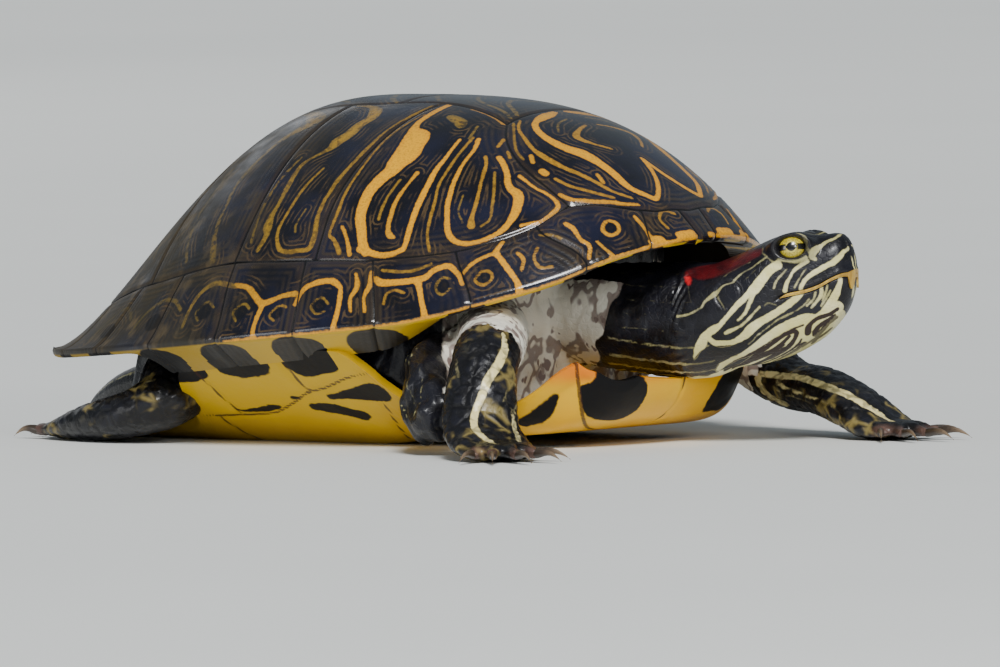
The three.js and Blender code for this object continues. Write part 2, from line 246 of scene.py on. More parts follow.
def dome(share, angle):
    c = np.cos(angle)
    front, rear = np.maximum(0, c) ** 2, np.maximum(0, -c) ** 2
    power = 3.25 * front + 2.35 * (1 - front - rear) + 2.6 * rear
    rim = along(RIM_X, RIM_Z, rim_radius(angle) * c)
    height = np.maximum(0, 1 - share**power) ** (1 + 0.9 * rear)
    reach = rim_radius(angle) * share
    return np.stack([reach * c, reach * np.sin(angle), rim + (SHELL_TOP - rim) * height], -1)


def dome_at(x, y):
    angle = np.arctan2(y, x)
    return dome(np.hypot(x, y) / rim_radius(angle), angle)


def dome_normal(x, y):
    step = 0.25
    slope_x = (dome_at(x + step, y) - dome_at(x - step, y))[..., 2] / (2 * step)
    slope_y = (dome_at(x, y + step) - dome_at(x, y - step))[..., 2] / (2 * step)
    normal = np.stack([-slope_x, -slope_y, np.ones_like(slope_x)], -1)
    return normal / norm(normal, axis=-1, keepdims=True)


print("rim half widths at the sides, mm:", rim_radius(np.radians([60, 90, 120])).round(1))

# %% [markdown]
# Outlines and markings are easiest to give the way one would measure them with a tape: so far along the
# shell, and so far down its side from the keel. A table of girths turns that pair into a place.

# %% Tape measure: x along the shell, s down the side from the keel
TAPE_X = np.linspace(-117, 117, 235)


def running_length(rows):
    """How far along a polyline each of its points lies."""
    return np.concatenate([[0], np.cumsum(norm(np.diff(rows, axis=0), axis=1))])


def half_girth(x):
    ys = np.linspace(0, 95, 381)
    inside = np.hypot(x, ys) <= rim_radius(np.arctan2(ys, x))
    ys = ys[inside]
    girth = running_length(dome_at(np.full(len(ys), x), ys))
    return np.interp(np.linspace(0, 130, 261), girth, ys)


TAPE_Y = np.array([half_girth(x) for x in TAPE_X])


def tape(x, s, side):
    """Points on the dome: x along, s down the side; side is -1 for the right and 1 for the left."""
    x = np.clip(np.asarray(x, float), -116.9, 116.9)
    s = np.asarray(s, float)
    i = np.clip(np.floor(x + 117).astype(int), 0, len(TAPE_X) - 2)
    j = np.clip(np.floor(np.abs(s) * 2).astype(int), 0, TAPE_Y.shape[1] - 2)
    fx, fs = x + 117 - i, np.abs(s) * 2 - j
    y = ((TAPE_Y[i, j] * (1 - fs) + TAPE_Y[i, j + 1] * fs) * (1 - fx)
         + (TAPE_Y[i + 1, j] * (1 - fs) + TAPE_Y[i + 1, j + 1] * fs) * fx)
    return dome_at(x, y * side * np.sign(s + 1e-9))


RIM_ANGLE = np.linspace(0, math.pi, 721)
RIM_LENGTH = running_length(dome(np.ones(721), RIM_ANGLE))
SEAM_TAPE = [(111, 0), (110, 8), (109, 15), (106, 22), (102, 28), (98, 33), (93, 40), (91, 44), (87, 55),
             (80, 66), (70, 77), (60, 84), (50, 89), (40, 93), (30, 94.8), (20, 96), (0, 97), (-20, 96),
             (-32, 94), (-43, 90), (-57, 81), (-71.5, 68.5), (-85, 53), (-91, 44.5), (-96, 36),
             (-100, 27), (-102.6, 18), (-104.2, 9), (-105, 0)]
seam_points = tape(*np.array(SEAM_TAPE, float).T, 1)
SEAM_ANGLE = np.arctan2(seam_points[:, 1], seam_points[:, 0])
SEAM_SHARE = np.hypot(seam_points[:, 0], seam_points[:, 1]) / rim_radius(SEAM_ANGLE)


def rim_rate(angle):
    """Millimetres of surface in from the rim for one whole share, near the rim."""
    inner = dome(np.full_like(angle, 0.88), angle)
    return norm(inner - dome(np.ones_like(angle), angle), axis=-1) / 0.12


print("half the rim is", round(RIM_LENGTH[-1]), "mm long")

# %% [markdown]
# ## Markings as drawn strokes
# A slider's lines are pigment in the horn. Each is drawn here as a stroke: a few points and the stroke's
# width at each. What a plate stores at every vertex is the distance to the nearest stroke's edge, below
# zero inside it. The shader cuts that field at zero, so a line stays crisp between vertices.

# %% Strokes and distance fields
def smooth_stroke(points, steps=5):
    """Catmull-Rom curve through the rows of points."""
    p = np.asarray(points, float)
    if len(p) < 3:
        return np.array([p[0] + (p[-1] - p[0]) * t for t in np.linspace(0, 1, steps + 1)])
    ends = np.vstack([2 * p[0] - p[1], p, 2 * p[-1] - p[-2]])
    t = np.arange(steps)[:, None] / steps
    parts = []
    for a, b, c, d in zip(ends, ends[1:], ends[2:], ends[3:]):
        square, cube = 2 * a - 5 * b + 4 * c - d, 3 * b - a - 3 * c + d
        parts.append(0.5 * (2 * b + (c - a) * t + square * t**2 + cube * t**3))
    return np.vstack([*parts, p[-1:]])


def distance_to(points, line, half_width):
    """Distance from points to a polyline's edge, where half_width belongs to the polyline's rows."""
    best = np.full(len(points), 1e3)
    low, high = line.min(0) - 8, line.max(0) + 8
    near = np.all((points > low) & (points < high), axis=1)
    if not near.any():
        return best
    p = points[near]
    a, b = line[:-1], line[1:]
    found = np.full(len(p), 1e3)
    for k in range(len(a)):
        edge = b[k] - a[k]
        size = max(edge @ edge, 1e-9)
        t = np.clip((p - a[k]) @ edge / size, 0, 1)
        away = norm(p - a[k] - t[:, None] * edge, axis=1)
        found = np.minimum(found, away - (half_width[k] * (1 - t) + half_width[k + 1] * t))
    best[near] = found
    return best


def drawn(points, strokes, place):
    """The field of all strokes, and the tone of the nearest. A stroke is (tone, (u, v, width), ...)."""
    field, tone = np.full(len(points), 9.0), np.ones(len(points))
    for shade, *rows in strokes:
        curve = smooth_stroke([row if len(row) == 3 else (*row, 1.0) for row in rows])
        line = place(curve[:, 0], curve[:, 1])
        away = distance_to(points, line, np.maximum(curve[:, 2], 0.1) / 2)
        nearer = away < field
        field[nearer], tone[nearer] = away[nearer], shade
    return field, tone


def store(piece, name, values):
    layer = piece.data.attributes.new(name, "FLOAT", "POINT")
    layer.data.foreach_set("value", np.asarray(values, np.float32))


print("stroke helpers ready")

# %% [markdown]
# The lines themselves, plate by plate, each row `(x, s, width)` and each stroke led by its tone: 1 is the
# bright orange-yellow of a broad bar, and less is a dull or thin line. Old plates towards the rear have
# lost most of theirs. Every slider's pattern is its own, and both sides are nearly mirror images.

# %% Markings of the pleural and vertebral scutes
PLEURAL_1 = [
    (1, (30.5, 20, 2.4), (30.3, 27, 2.2), (29.5, 34, 2.2), (30, 38, 2.6), (31.5, 41, 5), (34, 43.5, 9),
     (34.5, 47, 9), (35, 51, 9.4), (34, 55, 7.6), (33.5, 59, 5.6), (31.5, 63, 4.8), (30, 68, 4.2),
     (30, 73, 4), (31, 78, 3.6), (33.5, 83, 3.2), (36, 87.5, 3), (38.5, 90.5, 3)),
    (0.95, (36, 89.8, 2.6), (43, 90.3, 2), (47, 88.8, 1.8), (49.5, 87, 1.8), (50.8, 85, 1.8),
     (50.2, 80, 1.8), (49.3, 72, 2), (49, 64, 2), (48.7, 55, 1.8), (49.2, 49, 1.2), (49, 40, 1)),
    (0.5, (38.5, 62, 0.9), (37.5, 68, 0.9), (37.3, 73, 0.9), (38, 78, 0.9)),
    (0.75, (43, 58, 1.6), (42, 63, 1), (41, 70, 1.4), (41.5, 75, 1.5), (42.5, 80, 1.4), (44, 82.5, 2),
     (46, 83, 1)),
    (0.55, (52.5, 37, 0.8), (52.5, 53, 0.9), (52.5, 60, 0.9), (54, 66, 1), (55.5, 74, 0.9), (57, 79, 0.9),
     (59.5, 83, 1)),
    (0.85, (54.5, 37, 1.6), (56, 42, 1.2), (56, 48, 1), (56.2, 52, 1.2), (57, 58, 1.5), (58.5, 65, 1.6),
     (60.5, 70, 1.6), (63, 74.5, 1.8), (66.5, 76, 1.8), (70.5, 74.5, 1.6), (75, 70, 1.5),
     (78.5, 64, 1.8), (79.6, 58, 2.4), (79, 53, 3), (77.5, 50, 3.4), (74.5, 49.5, 2.4), (72.5, 48, 2),
     (70.5, 45, 1.8), (67.5, 42.5, 1.8), (65, 41, 1.8)),
    (0.6, (61, 43, 1), (63, 46, 1), (65, 53, 1), (67, 60, 1.1), (68, 66, 1.5), (69, 68.5, 2.5)),
    (0.5, (67, 47, 0.8), (70, 53, 0.9), (72, 58, 0.9), (73.5, 63, 0.7), (72, 67, 0.6)),
    (0.35, (62, 60, 0.5), (63, 66, 0.5), (66, 69, 0.5)),
    (0.8, (40, 20.8, 0.8), (46, 21.8, 1), (51, 23, 1.3), (56, 25, 1.6)),
    (0.3, (38, 29, 3), (43, 31, 4.4), (45, 33, 3)),
    (0.9, (74.5, 43.5, 1.2), (80, 44, 1), (86, 43, 1), (89.2, 43.6, 1.4), (89.6, 46, 1.4), (88, 52, 1.3),
     (85, 56, 1.2), (83, 58.5, 1)),
    (0.6, (61.5, 32.5, 1.1), (62, 37, 1.1)),
    (0.6, (66, 37, 1), (68, 39, 1)),
    (0.35, (50, 31, 0.8), (51.5, 38, 0.8)),
    (0.55, (28, 30, 0.6), (26, 36, 0.7), (23.6, 44, 0.8), (22.6, 52, 0.8), (21.8, 62, 0.8), (21.2, 70, 1),
     (22, 78, 1.2), (22.5, 86, 1), (25, 88, 1.2), (27, 90, 1.4), (29, 92.5, 1.6)),
    (0.75, (33, 92.5, 1.4), (31, 89, 1.2), (28, 85, 1), (26, 83, 1)),
]
PLEURAL_2 = [
    (0.45, (-3.5, 22.5, 2), (1, 23.5, 2), (4, 25, 2.6), (7, 28, 4.5), (9, 33, 4.5), (7.5, 38, 4.5),
     (7, 43, 5), (5, 47, 5), (4.5, 50, 3), (2, 53, 1.4), (-1, 56, 1.2), (-3, 60, 1.6), (-3, 68, 1.8),
     (-3, 75, 1.4), (-3.5, 80, 2.2), (-3, 84, 3.4), (-2, 87, 2), (-3, 93, 1.6)),
    (0.2, (-5, 55, 1), (-8, 65, 1), (-9, 75, 1), (-8, 85, 1), (-7, 90, 1)),
    (0.5, (7, 60, 0.8), (4, 68, 1), (2.5, 78, 1), (2, 86, 1.2), (5, 92, 1.4), (9, 93.5, 1.6),
     (13, 93, 1.6), (17, 92, 2), (17, 87, 1.8), (15, 80, 1.6), (14.5, 72, 1.4)),
    (0.5, (25.5, 22, 0.7), (24, 30, 0.8), (21, 40, 0.8), (19, 50, 1.4), (17.5, 57, 1.2), (15.5, 65, 1.6),
     (14.8, 72, 1.4)),
    (0.35, (9, 77, 0.7), (8, 83, 0.7), (9, 86, 0.7)),
]
PLEURAL_3 = [
    (0.2, (-30, 20.5, 2.4), (-26, 21.5, 2.6), (-22, 24, 4), (-18, 28, 6), (-14, 33, 7), (-17, 37, 5),
     (-22, 42, 3), (-26, 50, 2), (-29, 60, 2), (-28, 68, 1.6), (-27, 78, 1.8), (-24, 87, 2.4),
     (-21, 94, 2.4)),
    (0.15, (-38, 40, 1), (-41, 52, 1), (-42, 65, 1.2), (-39, 78, 1.2), (-35, 88, 1.4)),
]
PLEURAL_4 = [
    (0.1, (-58, 22, 2), (-63, 32, 2.6), (-66, 44, 3), (-63, 56, 2.4), (-60, 66, 2)),
    (0.1, (-76, 26, 1), (-81, 38, 1.4), (-83, 48, 1.4)),
]
PLEURAL_LINES = dict(enumerate((PLEURAL_1, PLEURAL_2, PLEURAL_3, PLEURAL_4), 1))


def both(*strokes):
    """The strokes of a vertebral plate and their mirror images."""
    return [*strokes, *[(tone, *[(x, -s, w) for x, s, w in rows]) for tone, *rows in strokes]]


VERTEBRAL_LINES = {
    1: both(
        (0.95, (59.5, 3, 2), (61, 8, 4), (62, 13, 3.4), (63, 17, 2), (65, 20, 2.2), (69, 22.5, 2.4),
         (74, 23.3, 3), (79, 22.5, 3.6), (84, 20, 4.4), (90, 18.5, 3.2), (95, 18, 3), (100, 17.5, 2.4),
         (104, 14, 2), (106, 11, 1.8), (103, 6, 1.6), (98, 2, 1.6), (92, 0, 1.4)),
        (0.6, (59, 20, 0.8), (62, 25, 0.9), (67, 28.5, 1.2), (72, 31, 1.4), (78, 31.5, 2), (84, 30.5, 1.6),
         (90, 28, 1.5), (95, 26, 1.4), (99, 24, 1), (103, 20, 1)),
        (0.5, (58.5, 23, 0.8), (61.5, 27, 0.8), (64.5, 31, 0.8), (68, 35, 0.9), (72, 37, 0.8)),
        (0.7, (73, 34, 1.4), (75, 36, 1.4)),
        (0.8, (79.4, 37, 2.4), (80.6, 37, 2.4)),
        (0.6, (84, 36.5, 1.1), (89, 35, 1.1), (94, 31.5, 1.1), (97, 29, 1.1), (100, 26, 1)),
        (0.8, (88, 40.2, 1.2), (91.5, 38.9, 1.5), (94.4, 36, 1.4), (97, 33, 1.3), (100.2, 28.4, 1.3),
         (103.3, 24, 1.2), (105.4, 19.6, 1)),
        (0.4, (66, 5, 0.8), (68, 12, 0.8), (72, 17, 0.8)),
        (0.6, (72, 3, 1), (74, 9, 1.4), (77, 14, 2.6), (82, 12, 1.2), (86, 8, 1)),
        (0.7, (92, 23.5, 1.3), (95, 24.5, 1.3)),
    ),
    2: both(
        (0.3, (40, 0, 1.5), (45, 8, 1.6), (52, 14, 1.5), (55.5, 17, 1.3)),
        (0.25, (27, 0, 1.3), (33, 8, 1.4), (40, 13, 1.4), (50, 17, 1.4), (55.5, 20.5, 1.2)),
        (0.2, (14, 4, 1.2), (18, 10, 1.6), (23, 15, 1.4)),
    ),
    3: both(
        (0.2, (-4, 0, 1.6), (0, 9, 2), (5, 16, 1.8), (9, 19, 1.4)),
        (0.15, (-26, 4, 1.4), (-20, 11, 1.8), (-12, 17, 1.4)),
    ),
    4: both((0.12, (-64, 3, 1.4), (-56, 9, 1.8), (-44, 14, 1.6), (-36, 16, 1.2))),
    5: both((0.1, (-98, 10, 1.4), (-90, 16, 2), (-82, 12, 1.6), (-77, 5, 1.2))),
}
print("strokes:", sum(len(s) for s in [*PLEURAL_LINES.values(), *VERTEBRAL_LINES.values()]))

# %% [markdown]
# Round the rim, places are given as `(length, w)`: millimetres round the rim from the nuchal notch, and
# millimetres in from the rim. The marginals carry arcs over a dark eye, one on each seam, and the arcs
# are brightest by the neck. Below the rim the same plates turn yellow, with a black blotch on each seam.

# %% Markings of the marginal scutes
MARGINAL_RIM = [4.5, 25, 49, 88, 120, 149, 179, 208, 236, 263, 290, 316, 344]
MARGINAL_TOP = [5.5, 22, 61, 91, 122, 150, 183, 210, 238, 265, 291, 317, 344]
MARGINAL_LINES = [
    (1, (7, 1, 2.6), (10, 0.6, 3.4), (13.4, 1, 2.4)),
    (1, (21, 0.6, 2.4), (23, 0.8, 3), (25, 0.6, 2.2)),
    (1, (1, 0, 1.8), (6, -0.4, 1.4), (14, -0.6, 1.2), (22, -0.8, 1.8), (32, -0.8, 1.2), (42, -0.8, 1.4)),
    (0.8, (26, 11, 1.2), (24.6, 5, 1.4), (24.4, 1, 1.8)),
    (0.6, (9, 9, 1), (13, 11, 1.2), (17, 8, 1), (16, 4, 1)),
    (0.75, (37, 12, 1.2), (39.4, 9.6, 1.3), (38, 6.6, 1.2), (34.5, 7, 1.1), (33.6, 10, 1.1), (36, 12, 1)),
    (0.85, (51, 17, 1.4), (49, 14, 1.4), (48, 9, 1.3), (46, 6, 1.1), (47.6, 2, 1.2)),
    (0.7, (43, 6, 1), (41.6, 3, 1), (40, 0, 1.2)),
    (0.6, (63, 12, 1), (65, 9, 1), (64, 5, 1), (60, 4, 0.9)),
    (0.5, (54, 12, 0.9), (57, 15, 0.9), (61, 16.4, 0.9)),
    (0.9, (74, 18, 1), (77, 15, 1.8), (76, 12, 1.8), (74, 7, 1.8), (72.4, 3, 1.8), (72, -0.5, 2.2)),
    (0.75, (77, 14.6, 1.2), (81, 14.4, 1.2), (86, 13, 1.2), (89.5, 10.5, 1.1)),
    (0.7, (70, 12.4, 1.1), (68.6, 9.5, 1.1), (70, 6, 1)),
    (0.6, (83, 9.4, 1), (85.6, 7, 1), (83, 4.6, 1), (80, 6, 0.9), (80.4, 8.6, 0.9), (83, 9.4, 0.9)),
    (0.85, (90, 7, 1.2), (91, 10.6, 1.4), (94, 14.6, 2), (99, 14.5, 1.8), (103, 12.4, 2.2), (110, 12.6, 2),
     (118, 13.4, 2.4), (120.5, 15.4, 1.6)),
    (0.9, (105, 12, 2.4), (104.4, 8, 1.8), (104, 5, 1.6), (103, -0.5, 1.8)),
    (0.5, (100, 17, 1), (108, 16, 1), (118, 18, 1)),
    (0.45, (94, 10, 0.9), (96.6, 11, 0.9), (99, 8, 0.9), (97, 5, 0.9), (94, 6.6, 0.8)),
    (0.55, (110, 8.6, 0.9), (113, 10, 0.9), (116, 9, 0.9), (117, 5.6, 0.9)),
    (0.8, (122, 18, 1.4), (122.4, 13, 1.6), (124, 9, 1), (123.4, 4, 1)),
    (0.75, (128, 18, 1), (127, 13, 1.8), (129, 9, 1.2), (128.4, 4.5, 1)),
    (0.9, (133, 12, 1.6), (133, 6, 1.6), (134, -0.5, 1.8)),
    (0.8, (133, 13, 1.2), (136, 15.8, 2), (140, 16.4, 2), (144, 16, 1.8), (148, 14, 1.8), (150, 9, 1.2)),
    (0.45, (137, 8, 0.8), (140, 10.4, 0.9), (143.4, 8, 0.9), (141, 5, 0.8), (138, 5.4, 0.8)),
    (0.7, (151, 13, 2), (156, 12.5, 1.6), (163, 10.5, 2.2), (168, 14, 2), (172, 17, 1.8), (178, 18.5, 1.6)),
    (0.75, (163, 10, 2), (163.8, 6, 1.6), (164, 2.4, 1.4), (163.6, -0.5, 1.4)),
    (0.5, (153, 8.4, 0.9), (156, 9, 0.9), (159, 6, 0.9), (156.6, 4, 0.8)),
    (0.4, (168, 9, 0.9), (171, 11, 0.9), (174.4, 8.4, 0.9), (172, 5, 0.8)),
    (0.45, (178, 18, 1.6), (185, 20, 1.8), (190, 20, 1.8), (194, 17, 1.6), (195.4, 12, 1.4), (195, 5, 1.2)),
    (0.3, (184, 11, 0.9), (188, 13.4, 1), (191.4, 10, 0.9), (189, 7, 0.9)),
    *[(tone, (at, 12, 1.2), (at + 6, 16, 1.5), (at + 13, 17, 1.5), (at + 20, 13, 1.3), (at + 22, 6, 1.2))
      for tone, at in ((0.3, 200), (0.2, 228), (0.15, 256), (0.12, 283), (0.1, 309))],
    (0.9, (42, -0.8, 1.2), (60, -0.9, 1), (80, -0.9, 1), (100, -0.9, 1.1), (125, -0.9, 1.1), (150, -0.9, 1),
     (175, -0.9, 0.8)),
]
MARGINAL_EYES = [(36.6, 9.4, 2.2), (83, 7, 2.4), (97, 8, 2.4), (114, 7, 2.4), (140.6, 7.6, 2.6),
                 (156.4, 6.6, 2.2), (171.6, 8, 2.6), (188, 10, 3), (212, 9, 3.2), (240, 9, 3.2)]
print("rim strokes:", len(MARGINAL_LINES))

# %% [markdown]
# On the head, places are `(d, q)`: millimetres forward of the back of the skull, and how far round the
# side, from crown (0) to throat (100). On neck, limbs and tail they are the percent of the way along and
# the angle round, with 90 on top. The red ear patch lies behind the eye, and broad pale stripes run from
# eye and mouth down to the neck. The throat is the other way round: pale, with dark loops.

# %% Markings of head, neck and limbs
HEAD_PALE = [
    (1, (33, 35.2, 3.2), (30.8, 36.5, 3.2), (28.5, 40.2, 3.4), (26.5, 43.5, 3.6), (23.8, 45.7, 2.5),
     (21.5, 47.7, 2.3), (19.2, 49.7, 2.1), (16.9, 52, 1.9), (14.6, 54.8, 1.9), (12.7, 56.3, 2.6),
     (10.8, 58.3, 3), (9.2, 61, 3.2), (8.1, 65, 3.5), (6.5, 69, 2.4), (5, 75.7, 1.8),
     (2.3, 83.7, 1.8), (0.8, 91.7, 1.8)),
    (0.9, (26, 45, 2), (25, 48.3, 1.7), (23, 52.3, 1.5), (20.8, 54.3, 1.3)),
    (0.8, (27.7, 51.7, 1.1), (25, 54.3, 1.2), (22.3, 57, 1.2), (20, 58.3, 1.2), (18, 59, 1.8),
     (16.5, 59.7, 1.4)),
    (0.4, (32.7, 53, 0.7), (30.4, 51.2, 0.8), (29, 52, 0.6)),
    (1, (40.5, 50.3, 1.8), (38.5, 52.3, 2.4), (36.2, 54.3, 2.5), (33, 56.3, 2.5), (30, 57.7, 2.7),
     (27, 59, 3.1), (24.6, 61, 3.5), (21.5, 64.3, 2.6), (18, 66.3, 2.3), (15, 66.3, 2.8),
     (12.7, 65, 2.4), (11.3, 62.3, 2.2), (10.4, 60, 2)),
    (0.6, (42.3, 54.3, 0.9), (40, 57.3, 0.8), (37, 59, 0.8), (32.7, 60.5, 0.8), (29.2, 63.2, 0.8),
     (26.2, 65.7, 0.8), (24.6, 68, 0.7), (23, 69.7, 0.7)),
    (0.7, (44.2, 52.3, 1.1), (43.5, 55.2, 1), (41.5, 57.5, 0.9)),
    (0.8, (46, 51.2, 1.4), (45.8, 55, 1.4), (44.2, 57.7, 1.2), (42.7, 59.7, 1)),
    (0.7, (47.8, 52.2, 0.9), (47.3, 55, 0.9), (46.2, 58.7, 0.8)),
    (0.6, (48.6, 56, 0.8), (47.4, 59, 0.8), (45.6, 61.7, 0.8)),
    (1, (51.6, 52.5, 1.8), (51.2, 56, 2.2), (50.2, 61, 2.8), (48.4, 65.5, 3), (46, 67.7, 2.6)),
    (1, (52.7, 25, 1.4), (52, 32, 1.9), (51.2, 37, 2.3), (49.6, 40.2, 2.2), (47, 41.3, 1.8),
     (44.2, 42.3, 1.8), (42, 44.3, 1.7), (40.6, 46.8, 1.6), (39.8, 49, 1.4)),
    (0.8, (52.9, 10, 1.2), (53, 17, 1.2), (52.7, 25, 1.3)),
    (0.9, (35.4, 48.8, 1.8), (35.9, 46, 1.4), (36.9, 43, 1.2), (37.9, 39.7, 1.2), (40, 36.3, 1.2),
     (41.9, 34, 1.2)),
    (0.6, (38.2, 48, 0.9), (39.4, 44.7, 0.8), (40.4, 41.7, 0.7), (41.6, 39, 0.6)),
    (0.6, (32.1, 46.5, 1.1), (32.8, 43.7, 0.9), (34.4, 41, 0.8), (35.8, 38.5, 0.7)),
    (0.7, (44, 33.5, 1.4), (43, 31.7, 1.7), (43.5, 28.3, 2.3), (45, 23.7, 1.8), (46.5, 20.3, 1.6),
     (48.8, 17, 1.4), (49.6, 12.3, 1.4), (50, 8, 1.6), (50.2, 3, 1.2)),
    (0.6, (43.2, 31, 1.6), (42.3, 27.7, 1.5), (41.3, 24.3, 1.4), (40.8, 18.3, 1.5), (40, 13, 1.4),
     (38.8, 8.3, 1.2), (36, 5, 0.9)),
    (0.7, (33, 31.7, 1), (35, 33.7, 1.2), (37.4, 34.5, 1.4), (39.4, 33.8, 1.4), (41.4, 32, 1.5)),
    (0.5, (29.2, 27, 1), (27.7, 28.3, 0.9), (24.6, 30.7, 1), (21.5, 31.7, 1), (18.5, 35, 1.1),
     (15.4, 35.2, 1.1), (13.5, 38.3, 1.8), (11.5, 40.3, 1.8), (9.6, 42.3, 1.2), (8.5, 45, 1),
     (4.6, 47.7, 1), (0.8, 48.3, 0.8)),
    (0.35, (27, 31.7, 0.7), (24.6, 35, 0.6), (21.5, 38.3, 0.6)),
    (0.3, (23.8, 25.7, 0.9), (20.8, 25.7, 0.8), (17.3, 27, 0.7), (15.4, 29, 0.6)),
    (0.4, (14.2, 41, 1), (14.2, 42.3, 1), (15.4, 45.7, 1), (16.5, 48.8, 0.9)),
    (0.4, (26.5, 13.7, 0.8), (27.3, 21.7, 0.9), (28.5, 25, 0.9), (29.6, 28.3, 0.8), (31.5, 32.3, 0.9)),
    (0.2, (3.4, 29, 0.7), (4.2, 36, 0.7), (5.4, 43, 0.6)),
    (0.45, (48, 0, 0.7), (40, 0, 0.8), (32, 0, 0.7)),
    (1, (44.5, 68.5, 2.4), (40.8, 65.5, 4), (36.9, 66, 4.2), (33, 67, 4), (30, 68.7, 3.8),
     (27, 71.7, 3.6), (23.8, 75, 3.4), (20.8, 77.7, 3.2), (17.7, 79.7, 2.8), (15.4, 83, 3),
     (12.7, 86.3, 3), (9.6, 91, 2.8), (6, 95, 2.4), (0, 97, 2.4)),
    (0.95, (49.5, 74, 6), (44, 76, 9), (38, 80, 12), (31, 86, 13), (24, 93, 12), (16, 100, 10),
     (4, 100, 12)),
    (0.8, (49, 88, 8), (40, 95, 14), (30, 100, 14)),
]
FRONT_PALE = [
    (1, (-2.7, 63, 1), (-2.5, 60, 1), (-2.0, 57, 1), (-1.2, 54.6, 1)),
    (0.9, (0.5, 63, 0.9), (0.3, 59, 1), (0, 55, 1)),
    (1, (3.2, 62.4, 1.1), (3.4, 58.5, 1.1), (2.8, 54.5, 1)),
    (0.9, (-1.8, 51.8, 1.6), (-1.6, 49, 1.8), (-1.0, 46, 2)),
    (0.9, (1.8, 51.8, 1.6), (1.6, 49, 1.8), (1.0, 46, 2)),
]
HEAD_DARK = [
    (1, (33, 71.7, 1.4), (34.6, 70.7, 1.6), (36.9, 70.7, 1.6), (37.7, 72.3, 1.8), (37.3, 75, 1.6),
     (36.2, 78.3, 1.6), (34.6, 81.7, 1.9), (31.5, 85, 1.9), (28.5, 87.7, 1.9), (24.6, 91, 1.6),
     (21.5, 95, 1.6)),
    (1, (33, 71.7, 1.4), (30, 74.3, 1.6), (27, 77, 1.9), (23.8, 79, 1.9), (20.8, 81, 2.2),
     (18, 83.7, 2.2), (15.4, 88.3, 2.4), (12.7, 93.7, 2.4), (9, 97, 1.9)),
    (1, (35.4, 73, 1.4), (33.5, 75.7, 1.4), (30.4, 79.7, 1.9), (27, 81, 1.9), (23.8, 83, 2.2),
     (20.8, 85, 2.2), (18, 89, 1.9), (15.4, 94, 1.9)),
    (1, (33.5, 81.7, 1.4), (30.8, 83.7, 1.4), (27, 87.7, 1.5), (23.1, 91.7, 1.5), (19, 96, 1.4)),
    (1, (24, 69.5, 1.2), (22.7, 70.5, 1.4), (19.2, 70.3, 2.2), (15.4, 71.2, 3.8), (12.7, 72.7, 5.4),
     (10, 75.5, 6.8), (8.5, 79.7, 8.1), (6.9, 85, 8.1), (5.8, 91.7, 6.2)),
    (1, (18.5, 75.7, 1.4), (15.4, 77, 1.9), (12.7, 80.3, 2.7)),
    (1, (40.8, 77, 2.2), (41.2, 73, 2.2), (42.3, 70, 1.6), (44.2, 69, 1.5), (46.2, 71, 1.4),
     (48, 73.7, 1.4), (50, 75.7, 1.4)),
    (1, (42.7, 82.3, 2.2), (43, 79, 1.9), (44.6, 76.3, 1.5), (46.5, 77, 1.4), (48.8, 79.7, 1.4)),
    (1, (44.2, 83.7, 1.6), (46.2, 80.7, 1.4), (48, 82.7, 1.4), (49.4, 85, 1.2)),
    (1, (39, 86, 1.6), (36, 90, 1.8), (32, 93, 1.6), (28, 97, 1.4)),
    (1, (47, 93, 1.4), (43, 90, 1.6), (41, 94, 1.6)),
    (1, (38.6, 80, 0.9), (37.4, 83.5, 1.1), (34.4, 87, 1.2), (30, 90.5, 1.2), (25, 94.5, 1.2),
     (20, 98.5, 1.1)),
    (1, (33.4, 78.5, 0.9), (30, 81.8, 1), (26, 84.2, 1.1), (22, 87, 1.2), (18, 91.5, 1.2),
     (14, 96.5, 1)),
    (1, (40, 69, 0.7), (36, 69, 0.8), (31, 71.5, 0.9), (27, 74.5, 0.9), (22, 78.5, 0.9),
     (17, 83, 1)),
    (1, (49, 79, 0.8), (46, 83.5, 1), (42, 87.5, 1.1), (38, 90, 1)),
]
HEAD_RED = [
    (1, (2.4, 20.5, 1.7), (3.0, 23.5, 1.8), (3.5, 26.2, 1.2)),
    (0.5, (1.4, 10, 1), (1.8, 15, 1.1), (2.4, 20.5, 1.3)),
    (0.34, (4.5, 15, 5), (8, 15, 9.5), (12, 15.2, 11), (16, 16, 10.5), (20, 17, 8.5),
     (25, 19, 4.5)),
    (0.5, (14, 15, 1.2), (18, 15.5, 1.6), (21.4, 16.5, 2), (25, 18.5, 1.4)),
]
NECK_PALE = [
    (0.35, (42, 200, 1), (60, 204, 1.1), (80, 206, 1), (93, 205, 0.7)),
    (0.22, (42, 186, 0.7), (60, 188, 0.8), (80, 188, 0.5)),
    (0.2, (40, 172, 0.6), (55, 172, 0.7), (72, 171, 0.5)),
    (0.2, (40, 157, 0.7), (60, 159, 0.7), (78, 160, 0.5)),
    (0.2, (40, 140, 0.6), (55, 142, 0.7), (70, 143, 0.5)),
    (0.2, (40, 122, 0.6), (60, 124, 0.7), (75, 125, 0.5)),
    (0.45, (42, 221, 1.3), (70, 226, 1.3), (93, 226, 1)),
    (0.55, (40, 238, 1.5), (70, 241, 1.4), (100, 240, 1.4)),
    (0.65, (40, 256, 1.8), (70, 256, 1.7), (100, 256, 1.8)),
    (0.6, (40, 270, 1.4), (70, 270, 1.4), (100, 270, 1.4)),
]
